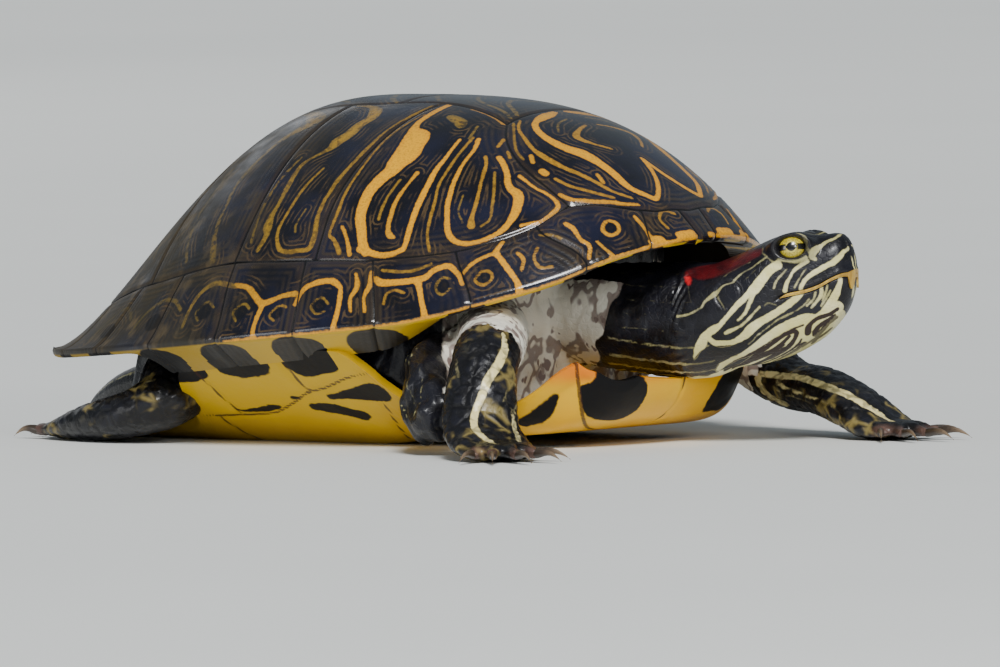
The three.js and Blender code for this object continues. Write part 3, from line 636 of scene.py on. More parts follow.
LIMB_PALE = {
    "forelimb_right": [
        (1, (31.5, 54, 2), (36.5, 46, 3), (42.5, 56, 3.2), (49, 74, 3), (55.5, 86, 2.7),
         (64, 102, 2.4), (75.5, 110, 2.4), (90, 108, 2.2), (100, 104, 1.6)),
        (0.7, (38.5, 8, 0.9), (46, 10, 1), (53, 10, 1.1), (63, 34, 1.6), (75, 48, 2), (95, 60, 2)),
        (0.5, (44, 30, 0.8), (50, 38, 1), (56, 50, 0.9), (62, 64, 0.8)),
        (0.5, (55, 50, 0.8), (60, 36, 0.8), (66, 60, 0.8)),
        (0.35, (40, 135, 1.2), (44, 128, 1.6), (47, 122, 1.2)),
    ],
    "forelimb_left": [
        (1, (30.5, 166, 2.4), (35, 152, 2.6), (44.5, 144, 2.7), (53.5, 140, 2.8), (62, 129, 3),
         (68, 120, 3.2), (74.5, 112, 3.2), (81.5, 102, 2.8), (90, 98, 2.4), (100, 96, 1.6)),
        (0.8, (38.5, 166, 1.4), (42, 174, 1.6), (45, 178, 1.5), (52, 180, 1.4), (59, 172, 1.3),
         (66, 167, 1.2)),
        (0.6, (37, 178, 0.9), (42, 192, 1), (52, 196, 1), (62, 190, 0.9)),
        (0.9, (30, 180, 2.6), (33, 205, 3), (40, 222, 3)),
    ],
    "hindlimb_right": [(0.35, (35, 60, 1.4), (50, 70, 1.4), (70, 84, 1.4), (100, 90, 1.2))],
    "hindlimb_left": [(0.5, (35, 60, 1.4), (50, 70, 1.4), (70, 84, 1.4), (100, 90, 1.2))],
}
FOLD_PALE = [
    (0.7, (30, 150, 0.9), (50, 175, 1), (70, 200, 0.9)),
    (0.7, (35, 120, 0.9), (60, 165, 1.1), (80, 195, 0.9)),
    (0.6, (45, 100, 0.8), (70, 140, 1), (90, 185, 0.8)),
    (0.6, (20, 160, 0.8), (40, 200, 1), (60, 225, 0.8)),
    (0.5, (60, 95, 0.7), (80, 120, 0.9), (95, 160, 0.8)),
    (0.5, (15, 185, 0.8), (30, 215, 0.9), (45, 240, 0.8)),
]
TAIL_PALE = [
    (0.7, (20, 150, 1.2), (60, 150, 1.1), (95, 150, 0.7)),
    (0.7, (20, 30, 1.2), (60, 30, 1.1), (95, 30, 0.7)),
]
print("head strokes:", len(HEAD_PALE) + len(HEAD_DARK) + len(HEAD_RED))

# %% [markdown]
# ## Scutes as separate plates
# Every scute is its own thin plate of horn with a groove round it. A plate could be cut out of the dome,
# but then its edge would follow the dome's mesh. Here each is a grid whose four sides are the plate's own
# seams, laid on the dome, given a thickness inwards, and sunk along its border to make the groove.

# %% Selecting, editing and joining
def deselect():
    bpy.ops.object.select_all(action="DESELECT")


def only(piece):
    deselect()
    piece.select_set(True)
    bpy.context.view_layer.objects.active = piece


def edit(piece, action="SELECT"):
    """Enter edit mode on one piece, with all of it selected or none."""
    only(piece)
    bpy.ops.object.mode_set(mode="EDIT")
    bpy.ops.mesh.select_all(action=action)


def leave_edit():
    bpy.ops.object.mode_set(mode="OBJECT")


def settle(piece, doubles=None):
    """Merge doubles when asked, and turn every face outwards."""
    edit(piece)
    if doubles:
        bpy.ops.mesh.remove_doubles(threshold=doubles)
    bpy.ops.mesh.normals_make_consistent(inside=False)
    leave_edit()


def apply_modifier(piece, kind, **settings):
    only(piece)
    bpy.ops.object.modifier_add(type=kind)
    modifier = piece.modifiers[-1]
    for key, value in settings.items():
        setattr(modifier, key, value)
    bpy.ops.object.modifier_apply(modifier=modifier.name)


def join(name, pieces):
    deselect()
    for piece in pieces:
        piece.select_set(True)
    bpy.context.view_layer.objects.active = pieces[0]
    if len(pieces) > 1:
        bpy.ops.object.join()
    whole = bpy.context.object
    whole.name = whole.data.name = name
    return whole


print("editing helpers ready")

# %% Grids laid over a surface
SHELL_CENTRE = [0, 0, 38]


def read(items, what):
    """One vector for each item of a mesh, such as `co` of its vertices."""
    flat = np.empty(len(items) * 3, np.float32)
    items.foreach_get(what, flat)
    return flat.reshape(-1, 3).astype(float)


def vertices_mm(piece):
    return read(piece.data.vertices, "co") / MM - MIDDLE


def write_vertices(piece, points):
    piece.data.vertices.foreach_set("co", to_frame(points).astype(np.float32).ravel())
    piece.data.update()


def sheet(name, across, down, place):
    """A grid whose vertices go to place(u, v) in millimetres, both from 0 to 1, facing outwards."""
    deselect()
    bpy.ops.mesh.primitive_grid_add(x_subdivisions=across, y_subdivisions=down, size=2)
    piece = bpy.context.object
    piece.name = piece.data.name = name
    flat = read(piece.data.vertices, "co") / 2 + 0.5
    write_vertices(piece, place(flat[:, 0], flat[:, 1]))
    middle = Vector(to_frame(SHELL_CENTRE))
    if sum(face.area * face.normal.dot(face.center - middle) for face in piece.data.polygons) < 0:
        edit(piece)
        bpy.ops.mesh.flip_normals()
        leave_edit()
    return piece


print("grids face away from", SHELL_CENTRE)

# %% Patches between four sides
def polyline(rows):
    """A function from 0..1 to the point that share of the way along the rows."""
    rows = np.asarray(rows, float)
    length = running_length(rows)
    length /= length[-1]
    return lambda t: np.stack([np.interp(t, length, rows[:, k]) for k in (0, 1)], -1)


def patch(low_side, high_side, start_side, stop_side):
    """A Coons patch between four sides: low and high run along u, start and stop along v."""
    low_side, high_side = polyline(low_side), polyline(high_side)
    start_side, stop_side = polyline(start_side), polyline(stop_side)

    def inside(u, v):
        one, two = u[:, None], v[:, None]
        ruled = (1 - two) * low_side(u) + two * high_side(u) + (1 - one) * start_side(v) + one * stop_side(v)
        corners = ((1 - one) * (1 - two) * low_side(np.zeros(1)) + one * (1 - two) * low_side(np.ones(1))
                   + (1 - one) * two * high_side(np.zeros(1)) + one * two * high_side(np.ones(1)))
        return ruled - corners

    return inside


print("patch helpers ready")

# %% [markdown]
# The seams below are measured on one side of the shell in tape units, `(x, s)`. Neighbouring plates share
# them, so the grooves meet. A keel line joins the five vertebral plates, with four pleurals on each side.

# %% Seams of the pleural and vertebral scutes
KEEL_SIDE = [(-72, 15), (-60, 18), (-45, 20), (-32, 19), (-20, 20), (-7, 21.5), (12, 20), (28, 18),
             (40, 19.5), (50, 22), (57, 24.5)]
NECK_SIDE = [(57, 24.5), (62, 32), (68, 37), (75, 40), (85, 41), (92, 41)]
REAR_SIDE = [(-72, 15), (-80, 22), (-88, 30), (-93, 40)]
PLEURAL_SEAMS = [
    [(28, 18), (25, 30), (22, 45), (19.5, 60), (18.5, 75), (20, 88), (21, 96)],
    [(-7, 21.5), (-8.5, 35), (-10, 50), (-11, 70), (-11, 96.5)],
    [(-45, 20), (-48, 35), (-51.5, 50), (-52, 65), (-50.5, 85.4)],
]
VERTEBRAL_CROSS = [57, 12, -32, -72]
GROOVE_DEPTH, GROOVE_WIDTH = 0.5, 0.75
HORN_THICKNESS = 1.5


def seam_between(first_x, last_x):
    """The part of the seam above the marginals between two places along the shell."""
    low_x, high_x = sorted((first_x, last_x))
    rows = between(SEAM_TAPE, low_x, high_x, 1.5)
    return rows if first_x < last_x else rows[::-1]


def between(rows, low_x, high_x, clear=0.1):
    """The part of a side between two places: its two ends, and the points that stay clear of them."""
    xs, ss = zip(*sorted(rows))
    inner = [row for row in sorted(rows) if low_x + clear < row[0] < high_x - clear]
    return [(low_x, float(np.interp(low_x, xs, ss))), *inner, (high_x, float(np.interp(high_x, xs, ss)))]


def rounded(rows, steps=6):
    return smooth_stroke(rows, steps)


PLEURALS = {
    1: ([*rounded(KEEL_SIDE[7:]), *rounded(NECK_SIDE)[1:]], rounded(seam_between(21, 91.4)),
        rounded(PLEURAL_SEAMS[0]), [(92, 41), (91.4, 43.3)]),
    2: (rounded(between(KEEL_SIDE, -7, 28)), rounded(seam_between(-11, 21)),
        rounded(PLEURAL_SEAMS[1]), rounded(PLEURAL_SEAMS[0])),
    3: (rounded(between(KEEL_SIDE, -45, -7)), rounded(seam_between(-50.5, -11)),
        rounded(PLEURAL_SEAMS[2]), rounded(PLEURAL_SEAMS[1])),
    4: (rounded(between(KEEL_SIDE, -72, -45)), rounded(seam_between(-93, -50.5)),
        rounded(REAR_SIDE), rounded(PLEURAL_SEAMS[2])),
}
print("pleural scutes on each side:", len(PLEURALS))

# %% [markdown]
# The horn grows in rings, so fine ridges run inside each border. They are real relief here, a tenth of a
# millimetre high, and they fade towards the middle of the plate.

# %% Build the plates of the back
def relief(edge):
    """How far the horn's surface lies under the dome at a distance from the plate's border."""
    groove = GROOVE_DEPTH * np.exp(-(edge / GROOVE_WIDTH) ** 2)
    rings = 0.07 * np.cos(edge * 2.9) * np.exp(-edge / 5) * ease(edge / 1.5)
    return groove + rings


def plate(name, inside, side, strokes, spacing=0.6):
    """One scute from its patch in tape units, with its drawn strokes and its border distance stored."""
    t = np.linspace(0, 1, 60)
    sides = [inside(t, np.zeros(60)), inside(t, np.ones(60)), inside(np.zeros(60), t), inside(np.ones(60), t)]
    border = [tape(rows[:, 0], rows[:, 1], side) for rows in sides]
    spans = [norm(np.diff(line, axis=0), axis=1).sum() for line in border]
    across, down = int(max(spans[:2]) / spacing), int(max(spans[2:]) / spacing)
    laid = {}

    def place(u, v):
        rows = inside(u, v)
        points = tape(rows[:, 0], rows[:, 1], side)
        edge = np.min([distance_to(points, line, np.zeros(60)) for line in border], axis=0)
        edge = np.maximum(edge - 0.02, 0)
        normal = dome_normal(points[:, 0], points[:, 1])
        laid.update(points=points, edge=edge)
        return points - normal * relief(edge)[:, None]

    piece = sheet(name, across, down, place)
    field, tone = drawn(laid["points"], strokes, lambda x, s: tape(x, s, side))
    store(piece, "line", field)
    store(piece, "tone", tone)
    store(piece, "edge", laid["edge"])
    apply_modifier(piece, "SOLIDIFY", thickness=HORN_THICKNESS * MM, offset=-1)
    settle(piece)
    return piece


pleurals = {}
for side, word in ((-1, "right"), (1, "left")):
    made = [plate(f"pleural_{n}", patch(*PLEURALS[n]), side, PLEURAL_LINES[n]) for n in PLEURALS]
    pleurals[side] = join(f"pleural_scutes_{word}", made)
    print(word, "pleural scutes:", len(pleurals[side].data.polygons), "faces")

# %% Build the five plates over the keel
def mirrored(rows):
    return [(x, -s) for x, s in rows]


def over_keel(rear, front, sides):
    """A vertebral plate's patch: u from the right side to the left, v from rear to front."""
    right = mirrored(sides)
    return patch(rear, front, right, sides)


front_rows = [row for row in SEAM_TAPE if row[0] > 92]
front_edge = [(92, -41), *mirrored(front_rows[::-1]), *front_rows[1:], (92, 41)]
rear_rows = [row for row in SEAM_TAPE if row[0] < -93]
rear_edge = [(-93, -40), *mirrored(rear_rows), *rear_rows[::-1][1:], (-93, 40)]
halves = {x: float(np.interp(x, *zip(*KEEL_SIDE))) for x in VERTEBRAL_CROSS}
crosses = {x: [(x, -half), (x, 0), (x, half)] for x, half in halves.items()}
VERTEBRALS = {
    1: over_keel(crosses[57], front_edge, rounded(NECK_SIDE)),
    2: over_keel(crosses[12], crosses[57], rounded(between(KEEL_SIDE, 12, 57))),
    3: over_keel(crosses[-32], crosses[12], rounded(between(KEEL_SIDE, -32, 12))),
    4: over_keel(crosses[-72], crosses[-32], rounded(between(KEEL_SIDE, -72, -32))),
    5: over_keel(rear_edge, crosses[-72], rounded(REAR_SIDE)[::-1]),
}
made = [plate(f"vertebral_{n}", inside, 1, VERTEBRAL_LINES[n]) for n, inside in VERTEBRALS.items()]
vertebrals = join("vertebral_scutes", made)
print("vertebral scutes:", len(vertebrals.data.polygons), "faces")

# %% [markdown]
# ## Marginals and the bone beneath
# Twenty-four marginals and a small nuchal run round the rim. Each folds over it, so its grid runs from
# the seam above, across the rim, and back in under the lip, which sinks to meet the bridge at the sides.
# A marginal could be cut from a swept rim, but its own grid keeps its seams and its markings together.

# %% The surface round the rim
LIP_DROP, LIP_SHARE, LIP_REACH = 2.6, 0.985, 12.0


def signed_angle(length, side):
    return np.interp(np.abs(length), RIM_LENGTH, RIM_ANGLE) * side * np.where(length < 0, -1, 1)


def over_rim(length, w, side):
    """Points at a length round the rim; w is millimetres in from it above, and below zero beneath."""
    length, w = np.broadcast_arrays(np.asarray(length, float), np.asarray(w, float))
    angle = signed_angle(length, side)
    top = dome(1 - np.maximum(w, 0) / rim_rate(np.abs(angle)), angle)
    under = np.maximum(-w, 0)
    fold = np.clip(under / LIP_DROP, 0, 1)
    back = np.maximum(under - LIP_DROP, 0)
    radius = rim_radius(angle)
    share = 1 - (1 - LIP_SHARE) * fold**2 - back / radius
    x = radius * np.cos(angle)
    top[..., 0] = np.where(w < 0, x * share, top[..., 0])
    top[..., 1] = np.where(w < 0, radius * share * np.sin(angle), top[..., 1])
    sink = 0.84 * ease((x + 52) / 14) * (1 - ease((x - 50) / 30)) - 0.09
    top[..., 2] -= np.where(w < 0, LIP_DROP * np.sin(fold * math.pi / 2) + sink * back, 0)
    return top


def seam_width(length):
    """How far in from the rim the seam above the marginals lies."""
    angle = np.interp(np.abs(length), RIM_LENGTH, RIM_ANGLE)
    return (1 - np.interp(angle, SEAM_ANGLE, SEAM_SHARE)) * rim_rate(angle)


print("marginals are up to", seam_width(MARGINAL_RIM).max().round(), "mm wide")

# %% Build the marginal plates
OVALS = [(1, (length - 1.5, -8.5, 17), (length + 1.5, -8.5, 17)) for length in MARGINAL_RIM]
SPOTS = [(1, (length - 0.3, w, 2 * r), (length + 0.3, w, 2 * r)) for length, w, r in MARGINAL_EYES]


def marginal(name, rim_ends, top_ends, side, spacing=0.72):
    across = max(int((rim_ends[1] - rim_ends[0]) / spacing), 8)
    widest = float(seam_width(np.mean(top_ends)))
    down = int((widest + LIP_REACH) / spacing)
    laid = {}

    def rows(u, v):
        reach = v * (widest + LIP_REACH) - LIP_REACH
        high = ease(reach / widest)
        start = rim_ends[0] + (top_ends[0] - rim_ends[0]) * high
        stop = rim_ends[1] + (top_ends[1] - rim_ends[1]) * high
        length = start + (stop - start) * u
        w = np.where(reach > 0, reach / widest * seam_width(length), reach)
        return length, w

    def place(u, v):
        length, w = rows(u, v)
        points = over_rim(length, w, side)
        t = np.linspace(0, 1, 60)
        none, full = np.zeros(60), np.ones(60)
        borders = [over_rim(*rows(*ends), side) for ends in ((none, t), (full, t), (t, full))]
        edge = np.min([distance_to(points, line, none) for line in borders], axis=0)
        below = over_rim(length, w - 0.3, side) - over_rim(length, w + 0.3, side)
        along_rim = over_rim(length + 0.3, w, side) - over_rim(length - 0.3, w, side)
        normal = np.cross(along_rim, below)
        normal /= norm(normal, axis=1, keepdims=True) + 1e-9
        normal *= np.sign((normal * (points - SHELL_CENTRE)).sum(1, keepdims=True) + 1e-9)
        laid.update(points=points, edge=edge, under=-w)
        return points - normal * relief(edge)[:, None]

    def field(strokes):
        return drawn(laid["points"], strokes, lambda length, w: over_rim(length, w, side))

    piece = sheet(name, across, down, place)
    line, tone = field(MARGINAL_LINES)
    store(piece, "line", line)
    store(piece, "tone", tone)
    store(piece, "edge", laid["edge"])
    store(piece, "under", laid["under"])
    store(piece, "oval", field(OVALS)[0])
    store(piece, "spot", field(SPOTS)[0])
    apply_modifier(piece, "SOLIDIFY", thickness=HORN_THICKNESS * MM, offset=-1)
    settle(piece)
    return piece


nuchal_rim, nuchal_top = MARGINAL_RIM[0], MARGINAL_TOP[0]
made = [marginal("nuchal", (-nuchal_rim, nuchal_rim), (-nuchal_top, nuchal_top), 1)]
for side in (-1, 1):
    for n in range(12):
        made.append(marginal(f"marginal_{n}", MARGINAL_RIM[n:n + 2], MARGINAL_TOP[n:n + 2], side))
marginals = join("marginal_scutes", made)
print("marginal scutes:", len(marginals.data.polygons), "faces")

# %% [markdown]
# In life the plates grow on bone. From outside it only shows as the dark bottom of a groove, so a plain
# closed dome is enough. It could be left out, but then light would leak in through the grooves.

# %% Bone under the plates
def bone_place(u, v):
    angle = (u * 2 - 1) * math.pi
    points = dome(0.985 * v, angle)
    normal = dome_normal(points[:, 0], points[:, 1])
    return points - normal * 0.95


carapace_bone = sheet("carapace_bone", 240, 70, bone_place)
settle(carapace_bone, doubles=0.00002)
apply_modifier(carapace_bone, "SOLIDIFY", thickness=2.4 * MM, offset=-1)
settle(carapace_bone)
print("bone:", len(carapace_bone.data.polygons), "faces")

# %% [markdown]
# ## The plastron and its bridges
# The under-shell is a flat plate turned up at the front, joined to the carapace by a bridge on each side.
# Its horn is orange-yellow, with dark seams and a black blotch to each scute. The bridge wall is steep,
# and carries the lower faces of the marginals, so their black ovals are painted along its top.

# %% Surface of the under-shell
PLASTRON_X = [-110, -106, -90, -62, -45, -34, 34, 42, 52, 70, 90, 99, 104, 108]
PLASTRON_HALF = [8, 30, 44, 49, 55, 79, 81, 66, 54, 52, 50, 45.5, 36, 16]
SLOPE, LOBE_ROUND = 0.07, 3.0


def plastron_half(x):
    """Half width of the under-shell, with the corners of its outline rounded."""
    return np.mean([along(PLASTRON_X, PLASTRON_HALF, x + step) for step in np.linspace(-3.5, 3.5, 7)], axis=0)


def plastron_z(x, y):
    across = np.abs(y)
    lift = SLOPE * np.maximum(0, x - 18) + 3 * ease((x - 80) / 40) + 3 * ease((-84 - x) / 30)
    outline = ((np.maximum(0, x - 50) / 58) ** 4 + (across / 50) ** 4) ** 0.25
    edge = np.clip((outline - 0.5) / 0.5, 0, 1)
    lobe = (9.8 + 8 * (across / 50) ** 2) * np.clip((x - 62) / 38, 0, 1) ** 3 * edge**5
    climb = along(RIM_X, RIM_Z, x) - 2.6 - 4.6 - lift
    return lift + lobe + climb * (np.maximum(0, across - 40) / 42) ** 1.35


def under(x, y):
    x, y = np.broadcast_arrays(np.asarray(x, float), np.asarray(y, float))
    return np.stack([x, y, plastron_z(x, y)], -1)


print("front lobe's tip at height, mm:", plastron_z(108, 0).round(1))

# %% Its seams and blotches
def both_halves(rows_list):
    """Strokes for the right half and their mirror images."""
    mirror_images = [[(x, -y, w) for x, y, w in rows] for rows in rows_list]
    return [(1, *rows) for rows in rows_list + mirror_images]


PLASTRON_SEAMS = both_halves([
    [(108, 0, 0.7), (60, 0.3, 0.6), (0, -0.4, 0.6), (-60, 0.3, 0.6), (-106, 0, 0.7)],
    [(99.6, -45, 0.9), (95.8, -37.2, 0.9), (86.5, -20, 0.8), (80, -6, 0.7), (78, 0, 0.7)],
    [(62, -54, 0.9), (58, -30, 0.8), (54, -12, 0.7), (54, 0, 0.7)],
    [(36, -62, 0.9), (30, -38, 0.8), (27, -15, 0.7), (27, 0, 0.7)],
    [(-34, -58, 0.9), (-30, -35, 0.8), (-31, -12, 0.7), (-31, 0, 0.7)],
    [(-78, -48, 0.9), (-72, -25, 0.8), (-69, -10, 0.7), (-69, 0, 0.7)],
])
BRIDGE_SEAMS = both_halves([
    [(-40, -58, 0.7), (-23, -58.4, 0.8), (-10.5, -59.2, 0.8), (1, -63.7, 0.9), (10, -67.7, 0.9),
     (18, -69.2, 0.9), (29, -72, 0.9), (38, -73, 0.9), (42, -74, 0.9)],
    [(-27, -78, 0.8), (-25, -66, 0.8), (-23.4, -59, 0.8)],
    [(9, -79, 1), (10, -72, 0.9), (11, -68, 0.9)],
    [(40, -80, 1), (40, -76, 0.9), (40, -73, 0.9)],
])
BLOTCHES = both_halves([
    [(99.6, -39, 7), (101.5, -33.5, 15), (103.7, -25, 15)],
    [(92, -46, 4), (86, -46.5, 5), (80, -46.5, 4)],
    [(76, -30, 17), (71, -22, 19)],
    [(42, -30, 16), (41, -20, 18)],
    [(4, -30, 20), (-2, -22, 20)],
    [(-50, -28, 18), (-53, -20, 18)],
    [(-88, -22, 14), (-90, -15, 14)],
    [(18, -66, 3), (27, -66, 7), (36, -66, 9)],
    [(8, -62, 4), (16, -61, 6), (24, -58, 7)],
    [(5, -65.6, 1.5), (3, -66, 2.6)],
    [(-24, -61, 1.2), (-14, -61.5, 2), (-6, -62.5, 1)],
])
for length in MARGINAL_RIM:
    x, y, _ = over_rim(length, -LIP_REACH, -1)
    if -48 < x < 44:
        BLOTCHES += both_halves([[(x - 3, y - 0.5, 17), (x + 3, y - 0.5, 17)]])
print("blotches:", len(BLOTCHES))

# %% Build the under-shell
laid = {}


def plastron_place(u, v):
    x = -1 + 109 * np.sin((2 * u - 1) * math.pi / 2)
    y = (2 * v - 1) * plastron_half(x)
    points = under(x, y)
    field = np.minimum(drawn(points, PLASTRON_SEAMS, under)[0], drawn(points, BRIDGE_SEAMS, under)[0])
    laid.update(points=points, seam=field)
    points = points.copy()
    border = np.minimum(plastron_half(x) - np.abs(y), np.minimum(108 - x, x + 110))
    turn = np.clip(1 - border / LOBE_ROUND, 0, 1) * (1 - ease((np.abs(y) - 56) / 8))
    points[:, 2] += LOBE_ROUND * (1 - np.sqrt(1 - turn**2 * 0.96))
    points[:, 2] += 0.45 * np.exp(-(np.maximum(field, 0) / 0.7) ** 2)
    return points


plastron_scutes = sheet("plastron_scutes", 250, 186, plastron_place)
store(plastron_scutes, "seam", laid["seam"])
store(plastron_scutes, "blotch", drawn(laid["points"], BLOTCHES, under)[0])
apply_modifier(plastron_scutes, "SOLIDIFY", thickness=2.6 * MM, offset=-1)
settle(plastron_scutes)
print("plastron:", len(plastron_scutes.data.polygons), "faces")

# %% [markdown]
# ## Finishes of the shell
# Wet horn is almost black with a blue cast, and glossy; the back of the shell is older, dry and olive.
# Lines are orange where they are broad and straw-coloured where they are thin, with a soft dark rim.
# The growth rings catch the light, so they go into the bump as well as into the relief.

# %% Horn of the carapace
STRAW, ORANGE, OLIVE = (0.34, 0.21, 0.02), (0.76, 0.33, 0), (0.10, 0.08, 0.018)
HORN_DARK, HORN_BLUE, ECHO = (0.003, 0.0025, 0.005), (0.007, 0.008, 0.024), (0.14, 0.085, 0.03)


def carapace_horn(name, rim=False):
    horn = Finish(name, IOR=1.5, Coat_Roughness=0.12, Specular_IOR_Level=0.35)
    x = horn.axis(0)
    wobble = (horn.noise(900, 2) - 0.5) * 0.55 + (horn.noise(260, 2) - 0.5) * 0.5
    line = horn.attribute("line") + wobble
    tone, edge = horn.attribute("tone"), horn.attribute("edge")
    fine = horn.noise(1400, 3)
    patchy = horn.noise(75, 4)
    old = (x * -1 + (patchy - 0.5) * 0.09).step(0.005, 0.075)
    ground = horn.blend(horn.noise(45, 3).step(0.35, 0.7), HORN_DARK, HORN_BLUE)
    ground = horn.blend((old * (0.35 + patchy * 0.7)).clamp(), ground, (0.030, 0.025, 0.013))
    dry = horn.noise(150, 4, where=horn.scaled(1, 1, 0.4)).step(0.5, 0.68)
    ground = horn.blend(dry * old * 0.75, ground, (0.10, 0.072, 0.035))
    drawn_colour = horn.blend(tone.step(0.35, 0.85), STRAW, ORANGE)
    drawn_colour = horn.blend(old * 0.85, drawn_colour, OLIVE)
    drawn_colour = horn.blend((line * -1).step(0.1, 2.2) * 0.4, drawn_colour, (0.88, 0.46, 0))
    share = line.step(0.28, -0.22) * (0.30 + tone * 0.75).clamp() * (1 - old * 0.35)
    share = share * (0.72 + fine.step(0.3, 0.6) * 0.28)
    share = share * (1 - (0.75 - tone).clamp() * horn.noise(480, 2).step(0.5, 0.62) * 1.6).clamp()
    echo = line.step(1.15, 1.4) * line.step(2.0, 1.7) + line.step(2.7, 2.95) * line.step(3.6, 3.3) * 0.7
    echo = echo * horn.noise(110, 3).step(0.42, 0.6)
    ground = horn.blend(echo * (0.5 - old * 0.15), ground, ECHO)
    colour = horn.blend(share, ground, drawn_colour)
    rings = ((edge * 2.9).math("COSINE") * 0.5 + 0.5) * edge.step(12, 2)
    colour = horn.blend(rings * patchy.step(0.35, 0.6) * 0.6 * (1 - share), colour, (0.055, 0.038, 0.018))
    near_seam = edge.step(2.2, 0.9) * edge.step(0.3, 0.7)
    colour = horn.blend(near_seam * 0.22, colour, (0.08, 0.05, 0.02))
    colour = horn.blend(edge.step(0.55, 0.1), colour, (0.004, 0.003, 0.003))
    roughness = 0.22 + old * 0.34 + (patchy - 0.5) * 0.25
    coat = (1 - old) * 0.6
    if rim:
        spot = horn.attribute("spot").step(0.3, -0.4)
        colour = horn.blend(spot * 0.7 * (1 - share), colour, (0.002, 0.002, 0.003))
        yellow = horn.blend(x.step(-0.06, 0.05), (0.35, 0.22, 0.02), (0.72, 0.44, 0))
        blot = (horn.attribute("oval") + (horn.noise(90, 2) - 0.5) * 3).step(0.4, -0.4)
        below = horn.blend(blot, yellow, (0.003, 0.0025, 0.003))
        beneath = horn.attribute("under").step(0.9, 1.6)
        colour = horn.blend(beneath, colour, below)
        coat = coat * (1 - beneath * 0.8)
        roughness = roughness + beneath * 0.2
    height = rings * 0.5 + fine * 0.25 + share * 0.2 + horn.noise(320, 3) * 0.5
    return horn.wear(colour, roughness, height, depth=0.00022, strength=0.7, coat=coat)


HORN = carapace_horn("carapace_horn")
RIM_HORN = carapace_horn("marginal_horn", rim=True)

# %% [markdown]
# The plastron's horn is smooth and yellow, orange where it turns up, with soft-edged black blotches. The
# stored distance to each blotch keeps its border clean at any size, which a painted image wouldn't.

# %% Horn of the plastron
belly = Finish("plastron_horn", IOR=1.45, Coat_Roughness=0.08, Specular_IOR_Level=0.22)
x = belly.axis(0)
height_up = belly.axis(2)
wobble = (belly.noise(300, 3) - 0.5) * 1.8 + (belly.noise(60, 1) - 0.5) * 5
blotch = belly.attribute("blotch") + wobble
seam = belly.attribute("seam") + (belly.noise(500, 2) - 0.5) * 0.3
cream = belly.blend(x.step(0, 0.06), (0.60, 0.37, 0), (0.80, 0.41, 0))
cream = belly.blend(x.step(0.045, 0.075) * height_up.step(0.0185, 0.0245), cream, (0.76, 0.20, 0))
cream = belly.blend(belly.noise(40, 3).step(0.42, 0.7) * 0.35, cream, (0.76, 0.50, 0.02))
cream = belly.blend(x.step(-0.05, -0.085) * 0.6, cream, (0.20, 0.13, 0.04))
black_share = blotch.step(0.35, -0.35)
colour = belly.blend(black_share, cream, (0.003, 0.0025, 0.003))
colour = belly.blend(seam.step(0.35, 0) * 0.85, colour, (0.035, 0.012, 0.006))
height = belly.noise(420, 3) + belly.noise(90, 2) * 2
UNDER_HORN = belly.wear(colour, 0.22 + belly.noise(60, 3) * 0.25 + black_share * 0.15, height,
                        strength=0.35, coat=(1 - black_share) * 0.12)
print("plastron's nodes:", len(belly.tree.nodes))

# %% Bone, and a finish for every plate
bone = Finish("shell_bone", IOR=1.5)
BONE = bone.wear(bone.blend(bone.noise(90, 3), (0.012, 0.009, 0.007), (0.03, 0.022, 0.014)),
                 0.55 + bone.noise(200, 2) * 0.2, bone.noise(500, 3), strength=0.4)

for piece, finish in ((pleurals[-1], HORN), (pleurals[1], HORN), (vertebrals, HORN), (marginals, RIM_HORN),
                      (carapace_bone, BONE), (plastron_scutes, UNDER_HORN)):
    piece.data.materials.clear()
    piece.data.materials.append(finish)
    only(piece)
    bpy.ops.object.shade_smooth_by_angle(angle=math.radians(50))
    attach(piece, "root")
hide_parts("carapace")
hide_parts("plastron")
print("shell finished")

# %% [markdown]
# ## The head's shape
# The head is set on the neck and turned a little to the left. Its own measure runs `d` forwards from the
# back of the skull and `v` across to its left. Each section is a rounded box: flat over the crown, wide
# at the eyes, and narrower along the jaw. `q` runs from 0 on the crown down one side to 100 on the throat.

# %% Head sections
HEAD_BASE, HEAD_YAW = np.array([107.0, 5.0]), math.radians(20)
HEAD_D = [-6, 0, 10, 20, 28, 35, 41, 45, 49, 52, 53.6]
HEAD_TOP = [53, 55, 57.6, 61.6, 65.2, 67.2, 66.2, 66.4, 66.8, 65.2, 61]
HEAD_BOTTOM = [23.9, 24.1, 23.8, 24.4, 26, 28.4, 31.6, 34.2, 38.3, 42.4, 46.5]
HEAD_HALF = [16, 16.4, 17.4, 17.8, 16.8, 14.2, 11.7, 10.1, 8.7, 6.9, 4.4]
HEAD_FORWARD = np.array([math.cos(HEAD_YAW), math.sin(HEAD_YAW)])
HEAD_LEFTWARD = np.array([-math.sin(HEAD_YAW), math.cos(HEAD_YAW)])
MOUTH_CORNER = 33.0


def signed_power(value, power):
    return np.sign(value) * np.abs(value) ** power


def head_local(d, q):
    """Half width and height on the right or left side of the head."""
    d, q = np.broadcast_arrays(np.asarray(d, float), np.asarray(q, float))
    top, bottom, half = (along(HEAD_D, row, d) for row in (HEAD_TOP, HEAD_BOTTOM, HEAD_HALF))
    angle = math.pi * (0.5 - q / 100)
    across = np.abs(np.cos(angle)) ** 0.82 * half
    z = bottom + (top - bottom) * (signed_power(np.sin(angle), 0.86) + 1) / 2
    low_jaw = ease((0.62 * (top + bottom) - z) / (top - bottom)) * ease((d - 6) / 20)
    return across * (1 - 0.13 * low_jaw), z


